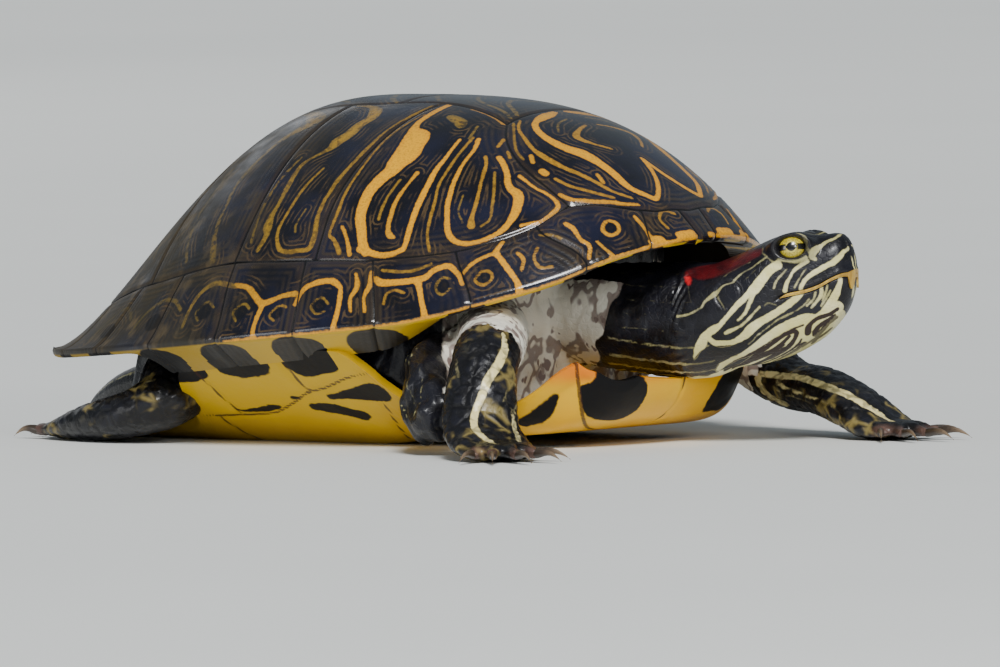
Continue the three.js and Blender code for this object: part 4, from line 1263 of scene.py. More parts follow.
def in_head(d, v, z):
    d, v, z = np.broadcast_arrays(*[np.asarray(a, float) for a in (d, v, z)])
    flat = HEAD_BASE + d[..., None] * HEAD_FORWARD + v[..., None] * HEAD_LEFTWARD
    return np.concatenate([flat, z[..., None]], -1)


def on_head(d, q, side):
    across, z = head_local(d, q)
    return in_head(d, across * side, z)


print("head length, mm:", HEAD_D[-1])

# %% [markdown]
# ## Flesh as tubes
# Neck, tail and limbs are round bodies along a bent line, so each starts as a tube through a few oval
# stations, `(x, y, z, half width, half height)`. They overlap freely, because one remesh will fuse them.
# Toes fan out from each palm, with webs between them: slight in front, full behind. A limb's sixth
# station is its palm.

# %% Stations of neck, tail and limbs
INSET = 0.35
CLOSE = 0.00003
PALM = 5
NECK = [(52, -3, 43, 15, 14), (78, -1, 40.2, 16.5, 16.8), (107, 5, 38.9, 17, 18.8),
        (116, 8.3, 39.8, 16.6, 18)]
TAIL = [(-78, 0, 19, 9, 8), (-100, 1, 16.4, 8.2, 7), (-120, 5, 13, 6, 5.4), (-136, 11, 7.6, 3.8, 3.6),
        (-147, 17, 3.4, 1.6, 1.6)]
LIMBS = {
    "forelimb_right": dict(
        heading=-28, toes=[-46, -24, -3, 18, 40], reach=[17, 21, 23, 21, 16], toe=2.9, claw=11,
        stations=[(64, -42, 37, 12, 12), (80, -63, 33.5, 11.5, 11), (90, -79, 30, 11, 10.5),
                  (95, -88, 19, 12, 9.5), (100, -94, 8.6, 13, 7), (108, -99, 4.4, 14, 5),
                  (116, -103, 2.6, 12, 3.4)]),
    "forelimb_left": dict(
        heading=-12, toes=[-40, -19, 2, 24, 46], reach=[16, 21, 23, 21, 17], toe=2.9, claw=11,
        stations=[(64, 42, 38, 12, 12), (84, 57, 28, 12, 11), (104, 59, 16.5, 11.5, 8.4),
                  (121, 56, 14, 11, 8), (137, 52, 9, 12, 7), (147, 50, 4.4, 13.5, 5),
                  (154, 48.5, 2.6, 12, 3.4)]),
    "hindlimb_right": dict(
        heading=158, toes=[-32, -11, 10, 31], reach=[18, 21, 22, 20], toe=3, claw=8,
        stations=[(-58, -38, 28, 14, 12), (-51, -55, 20, 13.5, 11), (-48, -67, 14, 12, 10),
                  (-58, -71, 9.5, 11, 8), (-71, -69, 7, 11, 7), (-82, -63, 4.8, 13, 5.8),
                  (-92, -57, 2.8, 13.5, 3.6)]),
    "hindlimb_left": dict(
        heading=196, toes=[-32, -10, 12, 34], reach=[19, 22, 21, 18], toe=3, claw=8,
        stations=[(-58, 38, 28, 14, 12), (-52, 56, 20, 13.5, 11), (-50, 69, 14, 12, 10),
                  (-61, 75, 9.5, 11, 8), (-75, 76, 7, 11, 7), (-87, 73, 4.8, 13, 5.8),
                  (-97, 70, 2.8, 13.5, 3.6)]),
}
FOLD = [(60, -52, 30, 9, 9), (60, -66, 24, 8, 13), (66, -80, 17, 7, 13), (78, -88, 12, 7, 9)]
print("limbs:", ", ".join(LIMBS))

# %% Tubes along bent lines
def tube_rows(stations, steps=8):
    """Centres, across and rise directions, and half sizes at close steps along a tube."""
    rows = smooth_stroke(stations, steps)
    centre = rows[:, :3]
    way = np.gradient(centre, axis=0)
    way /= norm(way, axis=1, keepdims=True)
    across = np.cross([0, 0, 1], way)
    across /= norm(across, axis=1, keepdims=True)
    return centre, way, across, np.cross(way, across), rows[:, 3:]


def rows_at(t, *tables):
    """Each table read at t, from 0 for its first row to 1 for its last."""
    count = np.arange(len(tables[0]))
    at = np.clip(np.asarray(t, float), 0, 1) * count[-1]
    return [np.stack([np.interp(at, count, column) for column in table.T], -1) for table in tables]


def on_tube(stations, t, angle, grow=0.0):
    """Points at t (0 to 1 along) and angle (degrees; 0 is the tube's left, 90 its top)."""
    centre, _, across, rise, half = rows_at(t, *tube_rows(stations))
    turn = np.radians(np.asarray(angle, float))
    half = half + grow
    return (centre + across * (np.cos(turn) * half[..., 0])[..., None]
            + rise * (np.sin(turn) * half[..., 1])[..., None])


def tube(name, stations, around):
    """A closed tube: its ends are drawn in to points over a rounded cap."""
    length = norm(np.diff(np.array(stations)[:, :3], axis=0), axis=1).sum()
    along_count = max(int(length / 1.6), 8)
    cap = 6
    count = along_count + 2 * cap

    def place(u, v):
        step = v * count
        t = np.clip((step - cap) / along_count, 0, 1)
        beyond = np.maximum(np.maximum(cap - step, step - cap - along_count), 0) / cap
        full = on_tube(stations, t, u * 360, -INSET)
        middle, way, _, _, half = rows_at(t, *tube_rows(stations))
        bulge = np.sin(beyond * math.pi / 2) * half.min(axis=1) * 0.55 * np.sign(t - 0.5)
        return middle + (full - middle) * np.cos(beyond * math.pi / 2)[:, None] + way * bulge[:, None]

    piece = sheet(name, around, count, place)
    settle(piece, doubles=CLOSE)
    return piece


print("neck cross sections:", len(tube_rows(NECK)[0]))

# %% Toes and webs
def toe_place(limb, k, distance):
    x, y = limb["stations"][PALM][:2]
    angle = math.radians(limb["heading"] + limb["toes"][k])
    return x + math.cos(angle) * distance, y + math.sin(angle) * distance


def toe_stations(limb, k):
    reach, r = limb["reach"][k], limb["toe"]
    spots = [(0.1, 4.0, 1.0), (0.45, 3.7, 0.95), (0.62, 3.9, 1.06), (0.8, 3.2, 0.86), (0.9, 3.1, 0.9),
             (0.99, 2.7, 0.74)]
    return [(*toe_place(limb, k, reach * share), z, r * wide, min(r * wide, z)) for share, z, wide in spots]


def web_stations(limb, k, share):
    """A thin wedge of skin between toe k and the next."""
    rows = []
    for part, z in ((0.05, 3.4), (0.5, 3.0), (1.0, 2.2)):
        one = np.array(toe_place(limb, k, limb["reach"][k] * share * part))
        two = np.array(toe_place(limb, k + 1, limb["reach"][k + 1] * share * part))
        middle = (one + two) / 2
        rows.append((*middle, z, max(norm(one - two) / 2, 2.0), 1.3 - 0.35 * part))
    return rows


print("toes:", sum(len(limb["toes"]) for limb in LIMBS.values()))

# %% [markdown]
# ## One skin
# The trunk is the bag of skin inside the shell, and only its sides show, in the pockets round neck and
# limbs. All the flesh is joined and remeshed into a single closed skin, then the head is divided finer.
# The hidden part of the trunk is thinned out, since nobody sees it.

# %% Trunk and head blanks
VOXEL = 1.35
TRUNK_AROUND, TRUNK_DOWN = 120, 60


def inner_dome(share, angle, depth):
    points = dome(share, angle)
    steep = (share**2)[..., None]
    shrink = 1 - depth * steep / np.maximum(1, np.hypot(points[..., :1], points[..., 1:2]))
    return np.concatenate([points[..., :2] * shrink, points[..., 2:] - depth * (1 - 0.45 * steep)], -1)


def trunk_place(u, v):
    angle = (u * 2 - 1) * math.pi
    c = np.cos(angle)
    front_hollow = 0.2 * np.exp(-(np.abs(angle) / 0.42) ** 2)
    rear_hollow = 0.1 * np.exp(-((math.pi - np.abs(angle)) / 0.5) ** 2)
    top = inner_dome(0.83 - front_hollow - rear_hollow - 0.02 * c * c, angle, 7.6)
    reach = np.linspace(20, 120, 401)
    inside = np.abs(reach * np.sin(angle)[:, None]) < along(PLASTRON_X, PLASTRON_HALF, reach * c[:, None]) - 3
    stop = np.where(inside.all(1), 400, np.argmin(inside, axis=1))
    radius = np.minimum(reach[stop], rim_radius(angle) * 0.8) * (1 - 0.28 * ease((c - 0.6) / 0.4))
    foot_x, foot_y = radius * c, radius * np.sin(angle)
    foot = np.stack([foot_x, foot_y, plastron_z(foot_x, foot_y) + 4.2], -1)
    centre = np.array([0, 0, 70.0])
    floor_centre = np.array([0, 0, 6.5])
    wall = ease((v - 0.25) / 0.5)[:, None]
    points = top * (1 - wall) + foot * wall
    v = v[:, None]
    points = np.where(v < 0.25, centre + (top - centre) * v / 0.25, points)
    return np.where(v > 0.75, floor_centre + (foot - floor_centre) * (1 - v) / 0.25, points)


def head_place(u, v):
    side = np.where(u < 0.5, -1, 1)
    q = 200 * np.where(u < 0.5, u, 1 - u)
    step = v * 66
    beyond = np.maximum(np.maximum(4 - step, step - 62), 0) / 4
    d = -6 + 59.6 * np.clip((step - 4) / 58, 0, 1)
    across, z = head_local(d, q)
    top, bottom = along(HEAD_D, HEAD_TOP, d), along(HEAD_D, HEAD_BOTTOM, d)
    middle = (top + bottom) / 2
    close = np.cos(beyond * math.pi / 2)
    bulge = np.sin(beyond * math.pi / 2) * np.where(step > 60, 0.9, -4)
    return in_head(d + bulge, across * side * close * 0.985, middle + (z - middle) * close * 0.99)


print("voxel, mm:", VOXEL)

# %% Join and remesh
flesh = [tube("neck", NECK, 48), tube("tail", TAIL, 30), tube("fold", FOLD, 30)]
for word, limb in LIMBS.items():
    flesh.append(tube(word, limb["stations"], 40))
    for k in range(len(limb["toes"])):
        flesh.append(tube(f"{word}_toe_{k}", toe_stations(limb, k), 14))
    share = 0.5 if word.startswith("fore") else 0.78
    for k in range(len(limb["toes"]) - 1):
        flesh.append(tube(f"{word}_web_{k}", web_stations(limb, k, share), 14))
for name, place, across, down in (("trunk_blank", trunk_place, TRUNK_AROUND, TRUNK_DOWN),
                                  ("head_blank", head_place, 80, 66)):
    piece = sheet(name, across, down, place)
    settle(piece, doubles=CLOSE)
    flesh.append(piece)
skin = join("skin", flesh)
apply_modifier(skin, "REMESH", mode="VOXEL", voxel_size=VOXEL * MM, use_smooth_shade=True)
print("remeshed:", len(skin.data.polygons), "faces")

# %% Thin the hidden part and divide the head
def head_coordinates(points):
    flat = points[:, :2] - HEAD_BASE
    return flat @ HEAD_FORWARD, flat @ HEAD_LEFTWARD, points[:, 2]


def choose_faces(piece, keep):
    """Select the faces whose centres, in millimetres from the shell's middle, pass the test."""
    edit(piece, "DESELECT")
    bpy.ops.mesh.select_mode(type="FACE")
    leave_edit()
    chosen = keep(read(piece.data.polygons, "center") / MM - MIDDLE)
    piece.data.polygons.foreach_set("select", chosen)
    bpy.ops.object.mode_set(mode="EDIT")
    return int(chosen.sum())


def hidden(points):
    inside = (np.hypot(points[:, 0] / 80, points[:, 1] / 54) < 1) & (points[:, 2] > 6)
    above = (points[:, 2] > 54) & (points[:, 0] < 72)
    return (inside & (points[:, 0] < 50)) | above


def in_front(points):
    return (head_coordinates(points)[0] > -1.5) & (points[:, 2] > 23.6)


print("thinned:", choose_faces(skin, hidden))
bpy.ops.mesh.decimate(ratio=0.04)
bpy.ops.mesh.select_all(action="DESELECT")
leave_edit()
choose_faces(skin, lambda points: ~in_front(points))
bpy.ops.mesh.vertices_smooth(factor=0.5, repeat=3)
leave_edit()
print("divided:", choose_faces(skin, in_front))
bpy.ops.mesh.subdivide(number_cuts=2, smoothness=0.0)
bpy.ops.mesh.vertices_smooth(factor=0.5, repeat=4)
leave_edit()
settle(skin)
skin.data.calc_loop_triangles()
print("skin:", len(skin.data.polygons), "faces,", len(skin.data.loop_triangles), "triangles")

# %% [markdown]
# ## Lids, mouth, nostrils and folds
# Fine forms are moved into the skin vertex by vertex, as a sculptor would push clay. The eye needs the most
# care: the skin dips to a ring of lid round the ball, stands up as a brow, and runs out into the cheek.
# The mouth is a groove, and the ear a shallow drum. Folds ring the neck, and plates cover the limbs.

# %% Which part each vertex belongs to
PARTS = ["neck", "tail", *LIMBS, "head", "trunk"]
PART_TUBES = {"neck": NECK, "tail": TAIL, **{word: limb["stations"] for word, limb in LIMBS.items()}}


def tube_measure(points, stations):
    """Nearest place along a tube: t, angle in degrees and distance from its axis in radii."""
    centre, way, across, rise, half = tube_rows(stations, 12)
    nearest = np.empty(len(points), int)
    for start in range(0, len(points), 20000):
        chunk = points[start:start + 20000]
        gap = norm((chunk[:, None] - centre[None]) / half.mean(axis=1)[None, :, None], axis=2)
        nearest[start:start + 20000] = gap.argmin(axis=1)
    away = points - centre[nearest]
    side = (away * across[nearest]).sum(1) / half[nearest, 0]
    up = (away * rise[nearest]).sum(1) / half[nearest, 1]
    forward = (away * way[nearest]).sum(1) / half[nearest].mean(axis=1)
    radii = np.sqrt(side**2 + up**2 + forward**2)
    return nearest / (len(centre) - 1), np.degrees(np.arctan2(up, side)) % 360, radii


points = vertices_mm(skin)
measured = {name: tube_measure(points, stations) for name, stations in PART_TUBES.items()}
d, v, z = head_coordinates(points)
fit = [np.where(measured[name][2] < 1.6, np.abs(measured[name][2] - 0.97), 9) for name in PART_TUBES]
fit.append(np.where((d > -1) & (np.abs(v) < 20) & (z > 22), -1.0, 9))
fit.append(np.full(len(points), 0.22))
part = np.argmin(fit, axis=0)
for k, limb in enumerate(LIMBS.values()):
    from_palm = norm(points[:, :2] - limb["stations"][PALM][:2], axis=1)
    part[(from_palm < 30) & (points[:, 2] < 9)] = 2 + k
print("vertices by part:", {name: int((part == k).sum()) for k, name in enumerate(PARTS)})

# %% [markdown]
# Skin is never even. Two helpers give the unevenness: smooth noise for ruffles, and cells for the shields
# on the limbs. Both are worked out from a vertex's place alone.

# %% Fine noise for relief
def noise_at(points, scale, seed=0.0):
    return np.array([noise.noise(Vector(p) * scale + Vector((seed, 0, 0))) for p in points])


def plates_at(points, size):
    """Distance to the nearest border between rounded plates, in plate widths."""
    found = np.empty(len(points))
    for k, p in enumerate(points):
        near = noise.voronoi(Vector(p) / size)[0]
        found[k] = near[1] - near[0]
    return found


# %% [markdown]
# Each form is a distance and a falloff: rings for the eye's opening, a line for the mouth, two pits for the
# nostrils. Sculpt strokes could do the same by hand; a formula gives both sides of the head alike.

# %% Where eyes, nostrils and mouth lie
EYE_D, EYE_SIDE, EYE_Z, EYE_RADIUS = 36.4, 8.5, 62.0, 4.8
OPENING_LONG, OPENING_HIGH = 4.6, 3.15
NOSTRIL_D, NOSTRIL_SIDE, NOSTRIL_Z = 52.6, 1.7, 63.4
EAR_D, EAR_Q, EAR_RADIUS = 17.5, 41.5, 4.3


def eye_axes(side):
    gaze = np.array([0.20, 0.96 * side, 0.20])
    gaze /= norm(gaze)
    ahead = np.array([1.0, 0, 0.12]) - gaze * gaze[0]
    ahead -= gaze * (ahead @ gaze)
    ahead /= norm(ahead)
    up = np.cross(gaze, ahead) * side * -1
    return gaze, ahead, up if up[2] > 0 else -up


def mouth_height(d):
    """The mouth runs halfway up the head and drops a little at its corner."""
    middle = (along(HEAD_D, HEAD_TOP, d) + along(HEAD_D, HEAD_BOTTOM, d)) / 2
    return middle - 0.2 - 1.4 * np.exp(-np.maximum(d - 31, 0) / 3)


print("mouth corner at height, mm:", mouth_height(MOUTH_CORNER).round(1))

# %% Lids and brows
local = np.stack([d, v, z], -1)
shift = np.zeros_like(local)
lid = np.full(len(points), 9.0)
for side in (-1, 1):
    gaze, ahead, up = eye_axes(side)
    away = local - [EYE_D, EYE_SIDE * side, EYE_Z]
    a, b, height = away @ ahead, away @ up, away @ gaze
    ring = np.hypot(a / OPENING_LONG, b / np.where(b > 0, OPENING_HIGH * 0.95, OPENING_HIGH * 1.05))
    close = (norm(away, axis=1) < 14) & (v * side > 0) & (height > -2)
    wanted = np.interp(ring, [0, 0.88, 1.0, 1.12, 1.3, 1.5, 2.2], [1.2, 1.6, 3.3, 4.25, 4.6, 4.5, 4.0])
    own = ease((ring - 1.25) / 0.75)
    brow = 0.7 * np.exp(-((ring - 1.55) / 0.35) ** 2) * ease((b + 1) / 3)
    moved = (wanted - height) * (1 - own) + brow
    shift[close] += (moved[:, None] * gaze)[close]
    lid[close] = np.minimum(lid, ring)[close]
shifted = np.abs(shift).sum(1, keepdims=True) > 0
print("eye pits:", int((lid < 1).sum()), "vertices")

# %% Mouth, nostrils, ears, folds and shields
outward = np.zeros(len(points))
on_head_part = (part == PARTS.index("head")) & (d > 2)
gap = z - mouth_height(d)
outward -= np.where(on_head_part, 0.9 * np.exp(-(gap / 0.5) ** 2) * ease((d - MOUTH_CORNER + 2) / 3), 0)
outward += np.where(on_head_part, 0.35 * np.exp(-((gap - 1.4) / 0.9) ** 2) * ease((d - 34) / 3), 0)
nostril = norm(local * [1, 0, 1] - [NOSTRIL_D, 0, NOSTRIL_Z]
               + (np.abs(v) - NOSTRIL_SIDE)[:, None] * [0, 1, 0], axis=1)
outward -= 1.2 * np.exp(-(nostril / 0.75) ** 2)
for side in (-1, 1):
    ear = on_head(np.array([EAR_D]), np.array([EAR_Q]), side)[0]
    ring = norm(points - ear, axis=1)
    outward -= 0.4 * np.exp(-((ring - EAR_RADIUS) / 0.6) ** 2) + 0.15 * (ring < EAR_RADIUS)
is_neck = (part == PARTS.index("neck")) | ((part == PARTS.index("head")) & (d < 5))
ruffle = noise_at(points, 0.09)
fold_phase = points @ np.array([0.94, 0.2, -0.28]) / 2.6 + ruffle * 4
outward += np.where(is_neck, 0.28 * np.sin(fold_phase * 2 * math.pi / 1.35), 0) * (1 - ease(d / 5))
is_trunk = part == PARTS.index("trunk")
swing = np.degrees(np.arctan2(points[:, 1], points[:, 0]))
outward += np.where(is_trunk & (points[:, 0] > 20), 0.8 * np.sin(swing * 0.8 + ruffle * 5), 0)
fold_at = tube_measure(points, FOLD)
on_fold = (fold_at[2] < 1.15) & (points[:, 1] < -50) & (points[:, 0] < 84)
outward += np.where(on_fold, 0.5 * np.sin(points[:, 0] * 1.1 + points[:, 2] * 0.5 + ruffle * 4), 0)
limb_part = (part >= 2) & (part < 6)
plate_gap = np.ones(len(points))
plate_gap[limb_part] = plates_at(points[limb_part] * [1, 1, 1.25], 4.6)
outward -= np.where(limb_part, 0.45 * np.exp(-(plate_gap / 0.12) ** 2), 0)
normals = read(skin.data.vertex_normals, "vector")
moved_points = np.where(shifted, in_head(*(local + shift).T), points) + normals * outward[:, None]
moved_points[:, 2] = np.maximum(moved_points[:, 2], 0.05)
write_vertices(skin, moved_points)
print("pushed most:", round(float(np.abs(outward).max()), 2), "mm")

# %% [markdown]
# The markings become fields on the skin's vertices, measured on the unpushed shape, so a stripe runs
# unbroken over lid and cheek. `cream` marks the pale pocket skin between shell, neck and forelimb.

# %% Stripes and the red patch
def least(strokes, places):
    """The union of strokes laid by several place functions."""
    field, tone = np.full(len(points), 9.0), np.ones(len(points))
    for place in places:
        one, shade = drawn(points, strokes, place)
        nearer = one < field
        field[nearer], tone[nearer] = one[nearer], shade[nearer]
    return field, tone


def round_tube(stations):
    return lambda t, angle: on_tube(stations, t / 100, angle)


def merge(first, second):
    nearer = second[0] < first[0]
    return np.where(nearer, second[0], first[0]), np.where(nearer, second[1], first[1])


head_sides = [lambda d, q, side=side: on_head(d, q, side) for side in (-1, 1)]
neck_sides = [round_tube(NECK), lambda t, angle: round_tube(NECK)(t, 180 - angle)]
pale = merge(least(HEAD_PALE, head_sides), least(NECK_PALE, neck_sides))
for word, strokes in LIMB_PALE.items():
    pale = merge(pale, least(strokes, [round_tube(LIMBS[word]["stations"])]))
pale = merge(pale, least(FRONT_PALE, [lambda v, z: in_head(np.full_like(v, 54.3), v, z)]))
pale = merge(pale, least(FOLD_PALE, [round_tube(FOLD)]))
pale = merge(pale, least(TAIL_PALE, [round_tube(TAIL)]))
dark = least(HEAD_DARK, head_sides)
red = least(HEAD_RED, head_sides)
print("striped:", int((pale[0] < 0).sum()), "vertices")

# %% Pocket skin and toes
fore = np.min([np.where(part == PARTS.index(word), measured[word][0], 2)
               for word in ("forelimb_right", "forelimb_left")], axis=0)
upper_arm = fore < 0.285 + 0.05 * noise_at(points, 0.16, 3.0)
seen_across = points[:, 0] * 0.788 - np.abs(points[:, 1]) * 0.616
# The pale skin stops below the rim: partly the dark skin there, partly painted shade under the rim's
# overhang.
dark_skin_and_rim_shade_from = 64 - 0.38 * (53 - points[:, 2]) - 60 * ease((points[:, 2] - 51) / 4)
dark_skin_and_rim_shade_from += 8 * noise_at(points * [1, 1, 0.5], 0.14, 7.0)
band = ease((seen_across - 6) / 7) * (1 - ease((seen_across - dark_skin_and_rim_shade_from) / 4))
pocket = is_trunk | upper_arm | (part == PARTS.index("neck"))
cream = np.where(pocket & (points[:, 0] > 10), band, 0)
claws_near = np.zeros(len(points))
for word, limb in LIMBS.items():
    for k in range(len(limb["toes"])):
        tip = np.array([*toe_place(limb, k, limb["reach"][k]), 3])
        claws_near = np.maximum(claws_near, 1 - norm(points - tip, axis=1) / 9)
fields = {"pale": pale[0], "pale_tone": pale[1], "dark": dark[0], "red": red[0], "red_tone": red[1],
          "cream": cream, "lid": lid, "nostril": nostril, "plate": plate_gap, "limb": limb_part,
          "toe": claws_near, "head": ease((d + 2) / 5) * (part == PARTS.index("head"))}
for name, values in fields.items():
    store(skin, name, values)
print("cream vertices:", int((cream > 0.5).sum()))

# %% [markdown]
# The finish reads those fields. Stripes are cut from the distance, the red patch is mottled, and the pale
# pocket skin carries brown rings. Scales are bump only; on the limbs, shade is painted dark into the creases
# round the shields.

# %% Dark ground, stripes and the red patch
hide = Finish("skin", IOR=1.42, Coat_Roughness=0.2, Specular_IOR_Level=0.3)
is_head, is_limb = hide.attribute("head"), hide.attribute("limb")
wobble = (hide.noise(700, 2) - 0.5) * 0.5 + (hide.noise(200, 2) - 0.5) * 0.5
grain = hide.noise(1500, 2)
ground = hide.blend(hide.noise(110, 3).step(0.35, 0.65), (0.003, 0.0025, 0.0035), (0.009, 0.009, 0.014))
ground = hide.blend(is_limb * hide.noise(170, 2).step(0.55, 0.72) * 0.6, ground, (0.05, 0.045, 0.03))
pale_colour = hide.blend(hide.noise(120, 2).step(0.35, 0.7), (0.66, 0.60, 0.24), (0.82, 0.76, 0.42))
pale_colour = hide.blend(is_limb * 0.7, pale_colour, (0.84, 0.70, 0.32))
tone = hide.attribute("pale_tone")
share = (hide.attribute("pale") + wobble + is_head * 0.16).step(0.25, -0.2) * (tone * 1.05).clamp()
colour = hide.blend(share, ground, pale_colour)
dark_share = (hide.attribute("dark") + wobble * 0.8).step(0.22, -0.15) * share
colour = hide.blend(dark_share, colour, (0.020, 0.009, 0.006))
red_tone = hide.attribute("red_tone")
mottle = hide.noise(230, 3).step(0.3, 0.65) * 0.8 + 0.35
red_colour = hide.blend((red_tone * red_tone * mottle).clamp(), (0.010, 0.004, 0.006), (0.60, 0.018, 0.022))
colour = hide.blend((hide.attribute("red") + wobble * 1.6).step(0.7, -0.7), colour, red_colour)
print("nodes for the stripes:", len(hide.tree.nodes))

# %% Pocket skin
swirl = hide.noise(95, 2, where=hide.scaled(1, 1, 0.7))
loops = swirl.step(0.505, 0.535) * swirl.step(0.61, 0.58)
spots = hide.noise(230, 2, where=hide.scaled(1, 1, 0.6)).step(0.62, 0.67)
pocket_colour = hide.blend(hide.noise(60, 2), (0.80, 0.74, 0.60), (0.90, 0.88, 0.78))
pocket_colour = hide.blend((loops * 0.85).above(spots) * 0.85, pocket_colour, (0.13, 0.065, 0.06))
ragged = hide.noise(240, 3, where=hide.scaled(1, 1, 0.35)) - 0.5
cream_share = (hide.attribute("cream") + ragged * 0.7).step(0.38, 0.6)
colour = hide.blend(cream_share, colour, pocket_colour)
print("nodes with the pocket skin:", len(hide.tree.nodes))

# %% Scales, painted crease shade and the finished skin
scales = hide.cell_border(520, 1).step(0, 0.14)
shields = hide.cell_border(185, 0.9).step(0, 0.22) * is_limb
painted_crease_shade = hide.attribute("plate").step(0.2, 0.04)
dark_skin = is_limb * (1 - cream_share)
# Painted shade: the colour is darkened in the grooves between the limb's plates.
colour = hide.blend(painted_crease_shade * dark_skin * 0.55, colour, (0.004, 0.004, 0.004))
# Painted shade: the colour is darkened along the low borders between the bumped shields.
colour = hide.blend((1 - shields) * dark_skin * (1 - share) * 0.8, colour, (0.004, 0.0035, 0.004))
net = (1 - shields) * dark_skin * (1 - share) * hide.noise(70, 2).step(0.54, 0.6)
colour = hide.blend(net * 0.6, colour, (0.34, 0.26, 0.08))
lid_rim = hide.attribute("lid").step(1.46, 1.28)
colour = hide.blend(lid_rim * 0.8, colour, (0.01, 0.009, 0.01))
# Painted shade: the nostril pits are coloured dark for the shade inside their openings.
colour = hide.blend(hide.attribute("nostril").step(0.85, 0.55), colour, (0.004, 0.003, 0.003))
colour = hide.blend(hide.attribute("toe").step(0.3, 0.8) * 0.35, colour, (0.28, 0.15, 0.11))
wrinkle = hide.noise(260, 4, where=hide.scaled(1, 1, 3))
height = scales * (0.5 - is_head * 0.15 - is_limb * 0.3) + shields * (1 - cream_share) * 2.2
height = height + wrinkle * 0.9 + grain * 0.15
roughness = 0.34 + hide.noise(90, 3) * 0.2 + cream_share * 0.12
skin.data.materials.clear()
skin.data.materials.append(hide.wear(colour, roughness, height, depth=0.00032, strength=0.55,
                                     coat=(0.35 - cream_share * 0.2)))
only(skin)
bpy.ops.object.shade_smooth()
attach(skin, "root")
FLESH_NODES = [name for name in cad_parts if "claw" not in name
               and name not in ("carapace", "plastron", "eye_left", "eye_right")]
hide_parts(*FLESH_NODES)
print("skin replaces:", len(FLESH_NODES), "nodes")

# %% [markdown]
# ## Eyes
# The ball is wet and sits a little proud of its lids. The iris is yellow-green with a dark bar across it
# through the round pupil, so that the eye hides in the head's stripes. The bar is level when the head is.
# Each vertex stores how far it lies across and above the gaze, so the pattern belongs to the eye.

# %% Eyeballs
def eyeball(name, side):
    _, ahead, up = eye_axes(side)
    deselect()
    centre = Vector(to_frame(in_head(EYE_D, EYE_SIDE * side, EYE_Z).tolist()))
    turn = Matrix.Rotation(HEAD_YAW, 3, "Z")
    bpy.ops.mesh.primitive_uv_sphere_add(segments=64, ring_count=40, radius=EYE_RADIUS * MM, location=centre)
    ball = bpy.context.object
    ball.name = ball.data.name = name
    bpy.ops.object.transform_apply(location=True, rotation=True, scale=True)
    spots = (read(ball.data.vertices, "co") - np.array(centre)) / (EYE_RADIUS * MM)
    for word, way in (("across", ahead), ("upward", up)):
        store(ball, word, spots @ np.array(turn @ Vector(way)))
    settle(ball)
    bpy.ops.object.shade_smooth()
    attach(ball, "root")
    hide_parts(name.replace("ball_", ""))
    return ball


eyes = [eyeball("ball_eye_right", -1), eyeball("ball_eye_left", 1)]
print("eyeballs:", [ball.name for ball in eyes])

# %% Iris
iris = Finish("eye_iris", IOR=1.5, Coat_Weight=1, Coat_Roughness=0.02, Roughness=0.25)
a, b = iris.attribute("across"), iris.attribute("upward")
radius = (a * a + b * b).math("SQRT")
oval = (a * a * 0.72 + b * b).math("SQRT")
fibres = iris.noise(2500, 3)
gold = iris.blend(fibres.step(0.4, 0.65), (0.34, 0.26, 0.01), (0.66, 0.53, 0.05))
colour = iris.blend((oval + (fibres - 0.5) * 0.06).step(0.66, 0.74), gold, (0.012, 0.010, 0.008))
bar = (b.math("ABSOLUTE") + (iris.noise(900, 2) - 0.5) * 0.05).step(0.235, 0.175)
gap_ring = radius.step(0.36, 0.40) * radius.step(0.47, 0.42)
colour = iris.blend(bar * (1 - gap_ring * 0.35), colour, (0.004, 0.004, 0.004))
colour = iris.blend(radius.step(0.32, 0.28), colour, (0.002, 0.002, 0.002))
pupil_ring = radius.step(0.40, 0.36) * radius.step(0.29, 0.33) * b.math("ABSOLUTE").step(0.06, 0.14)
colour = iris.blend(pupil_ring, colour, (0.60, 0.52, 0.1))
IRIS = iris.wear(colour, 0.2 + fibres * 0.1)
for ball in eyes:
    ball.data.materials.append(IRIS)
print("iris nodes:", len(iris.tree.nodes))

# %% [markdown]
# ## Beak
# A turtle has no teeth: each jaw has a horny edge instead, the tomium. It shows as a narrow ochre line along
# the mouth, with a notch between two small cusps in front. Each jaw's edge is a strip that follows the head
# at the mouth's height, a little proud of the skin.

# %% Upper and lower horny edges
def head_at_height(d, z):
    """Half width of the head at a place along it and a height."""
    trial = np.linspace(2, 98, 97)
    halves = []
    for one_d, one_z in zip(d, z):
        across, heights = head_local(one_d, trial)
        halves.append(np.interp(one_z, heights[::-1], across[::-1]))
    return np.array(halves)


def jaw_line(share, lift):
    """Round the mouth from its right corner (0) over the tip (0.5) to the left one (1)."""
    flank = np.clip(np.minimum(share, 1 - share) / 0.44, 0, 1)
    d = 33.5 + (53.2 - 33.5) * flank
    z = mouth_height(d) + lift
    half = head_at_height(d, z)
    nose = np.clip((np.minimum(share, 1 - share) - 0.44) / 0.06, 0, 1)
    turn = nose * math.pi / 2
    side = np.where(share < 0.5, -1, 1)
    return d + 1.35 * np.sin(turn), half * side * np.cos(turn), z


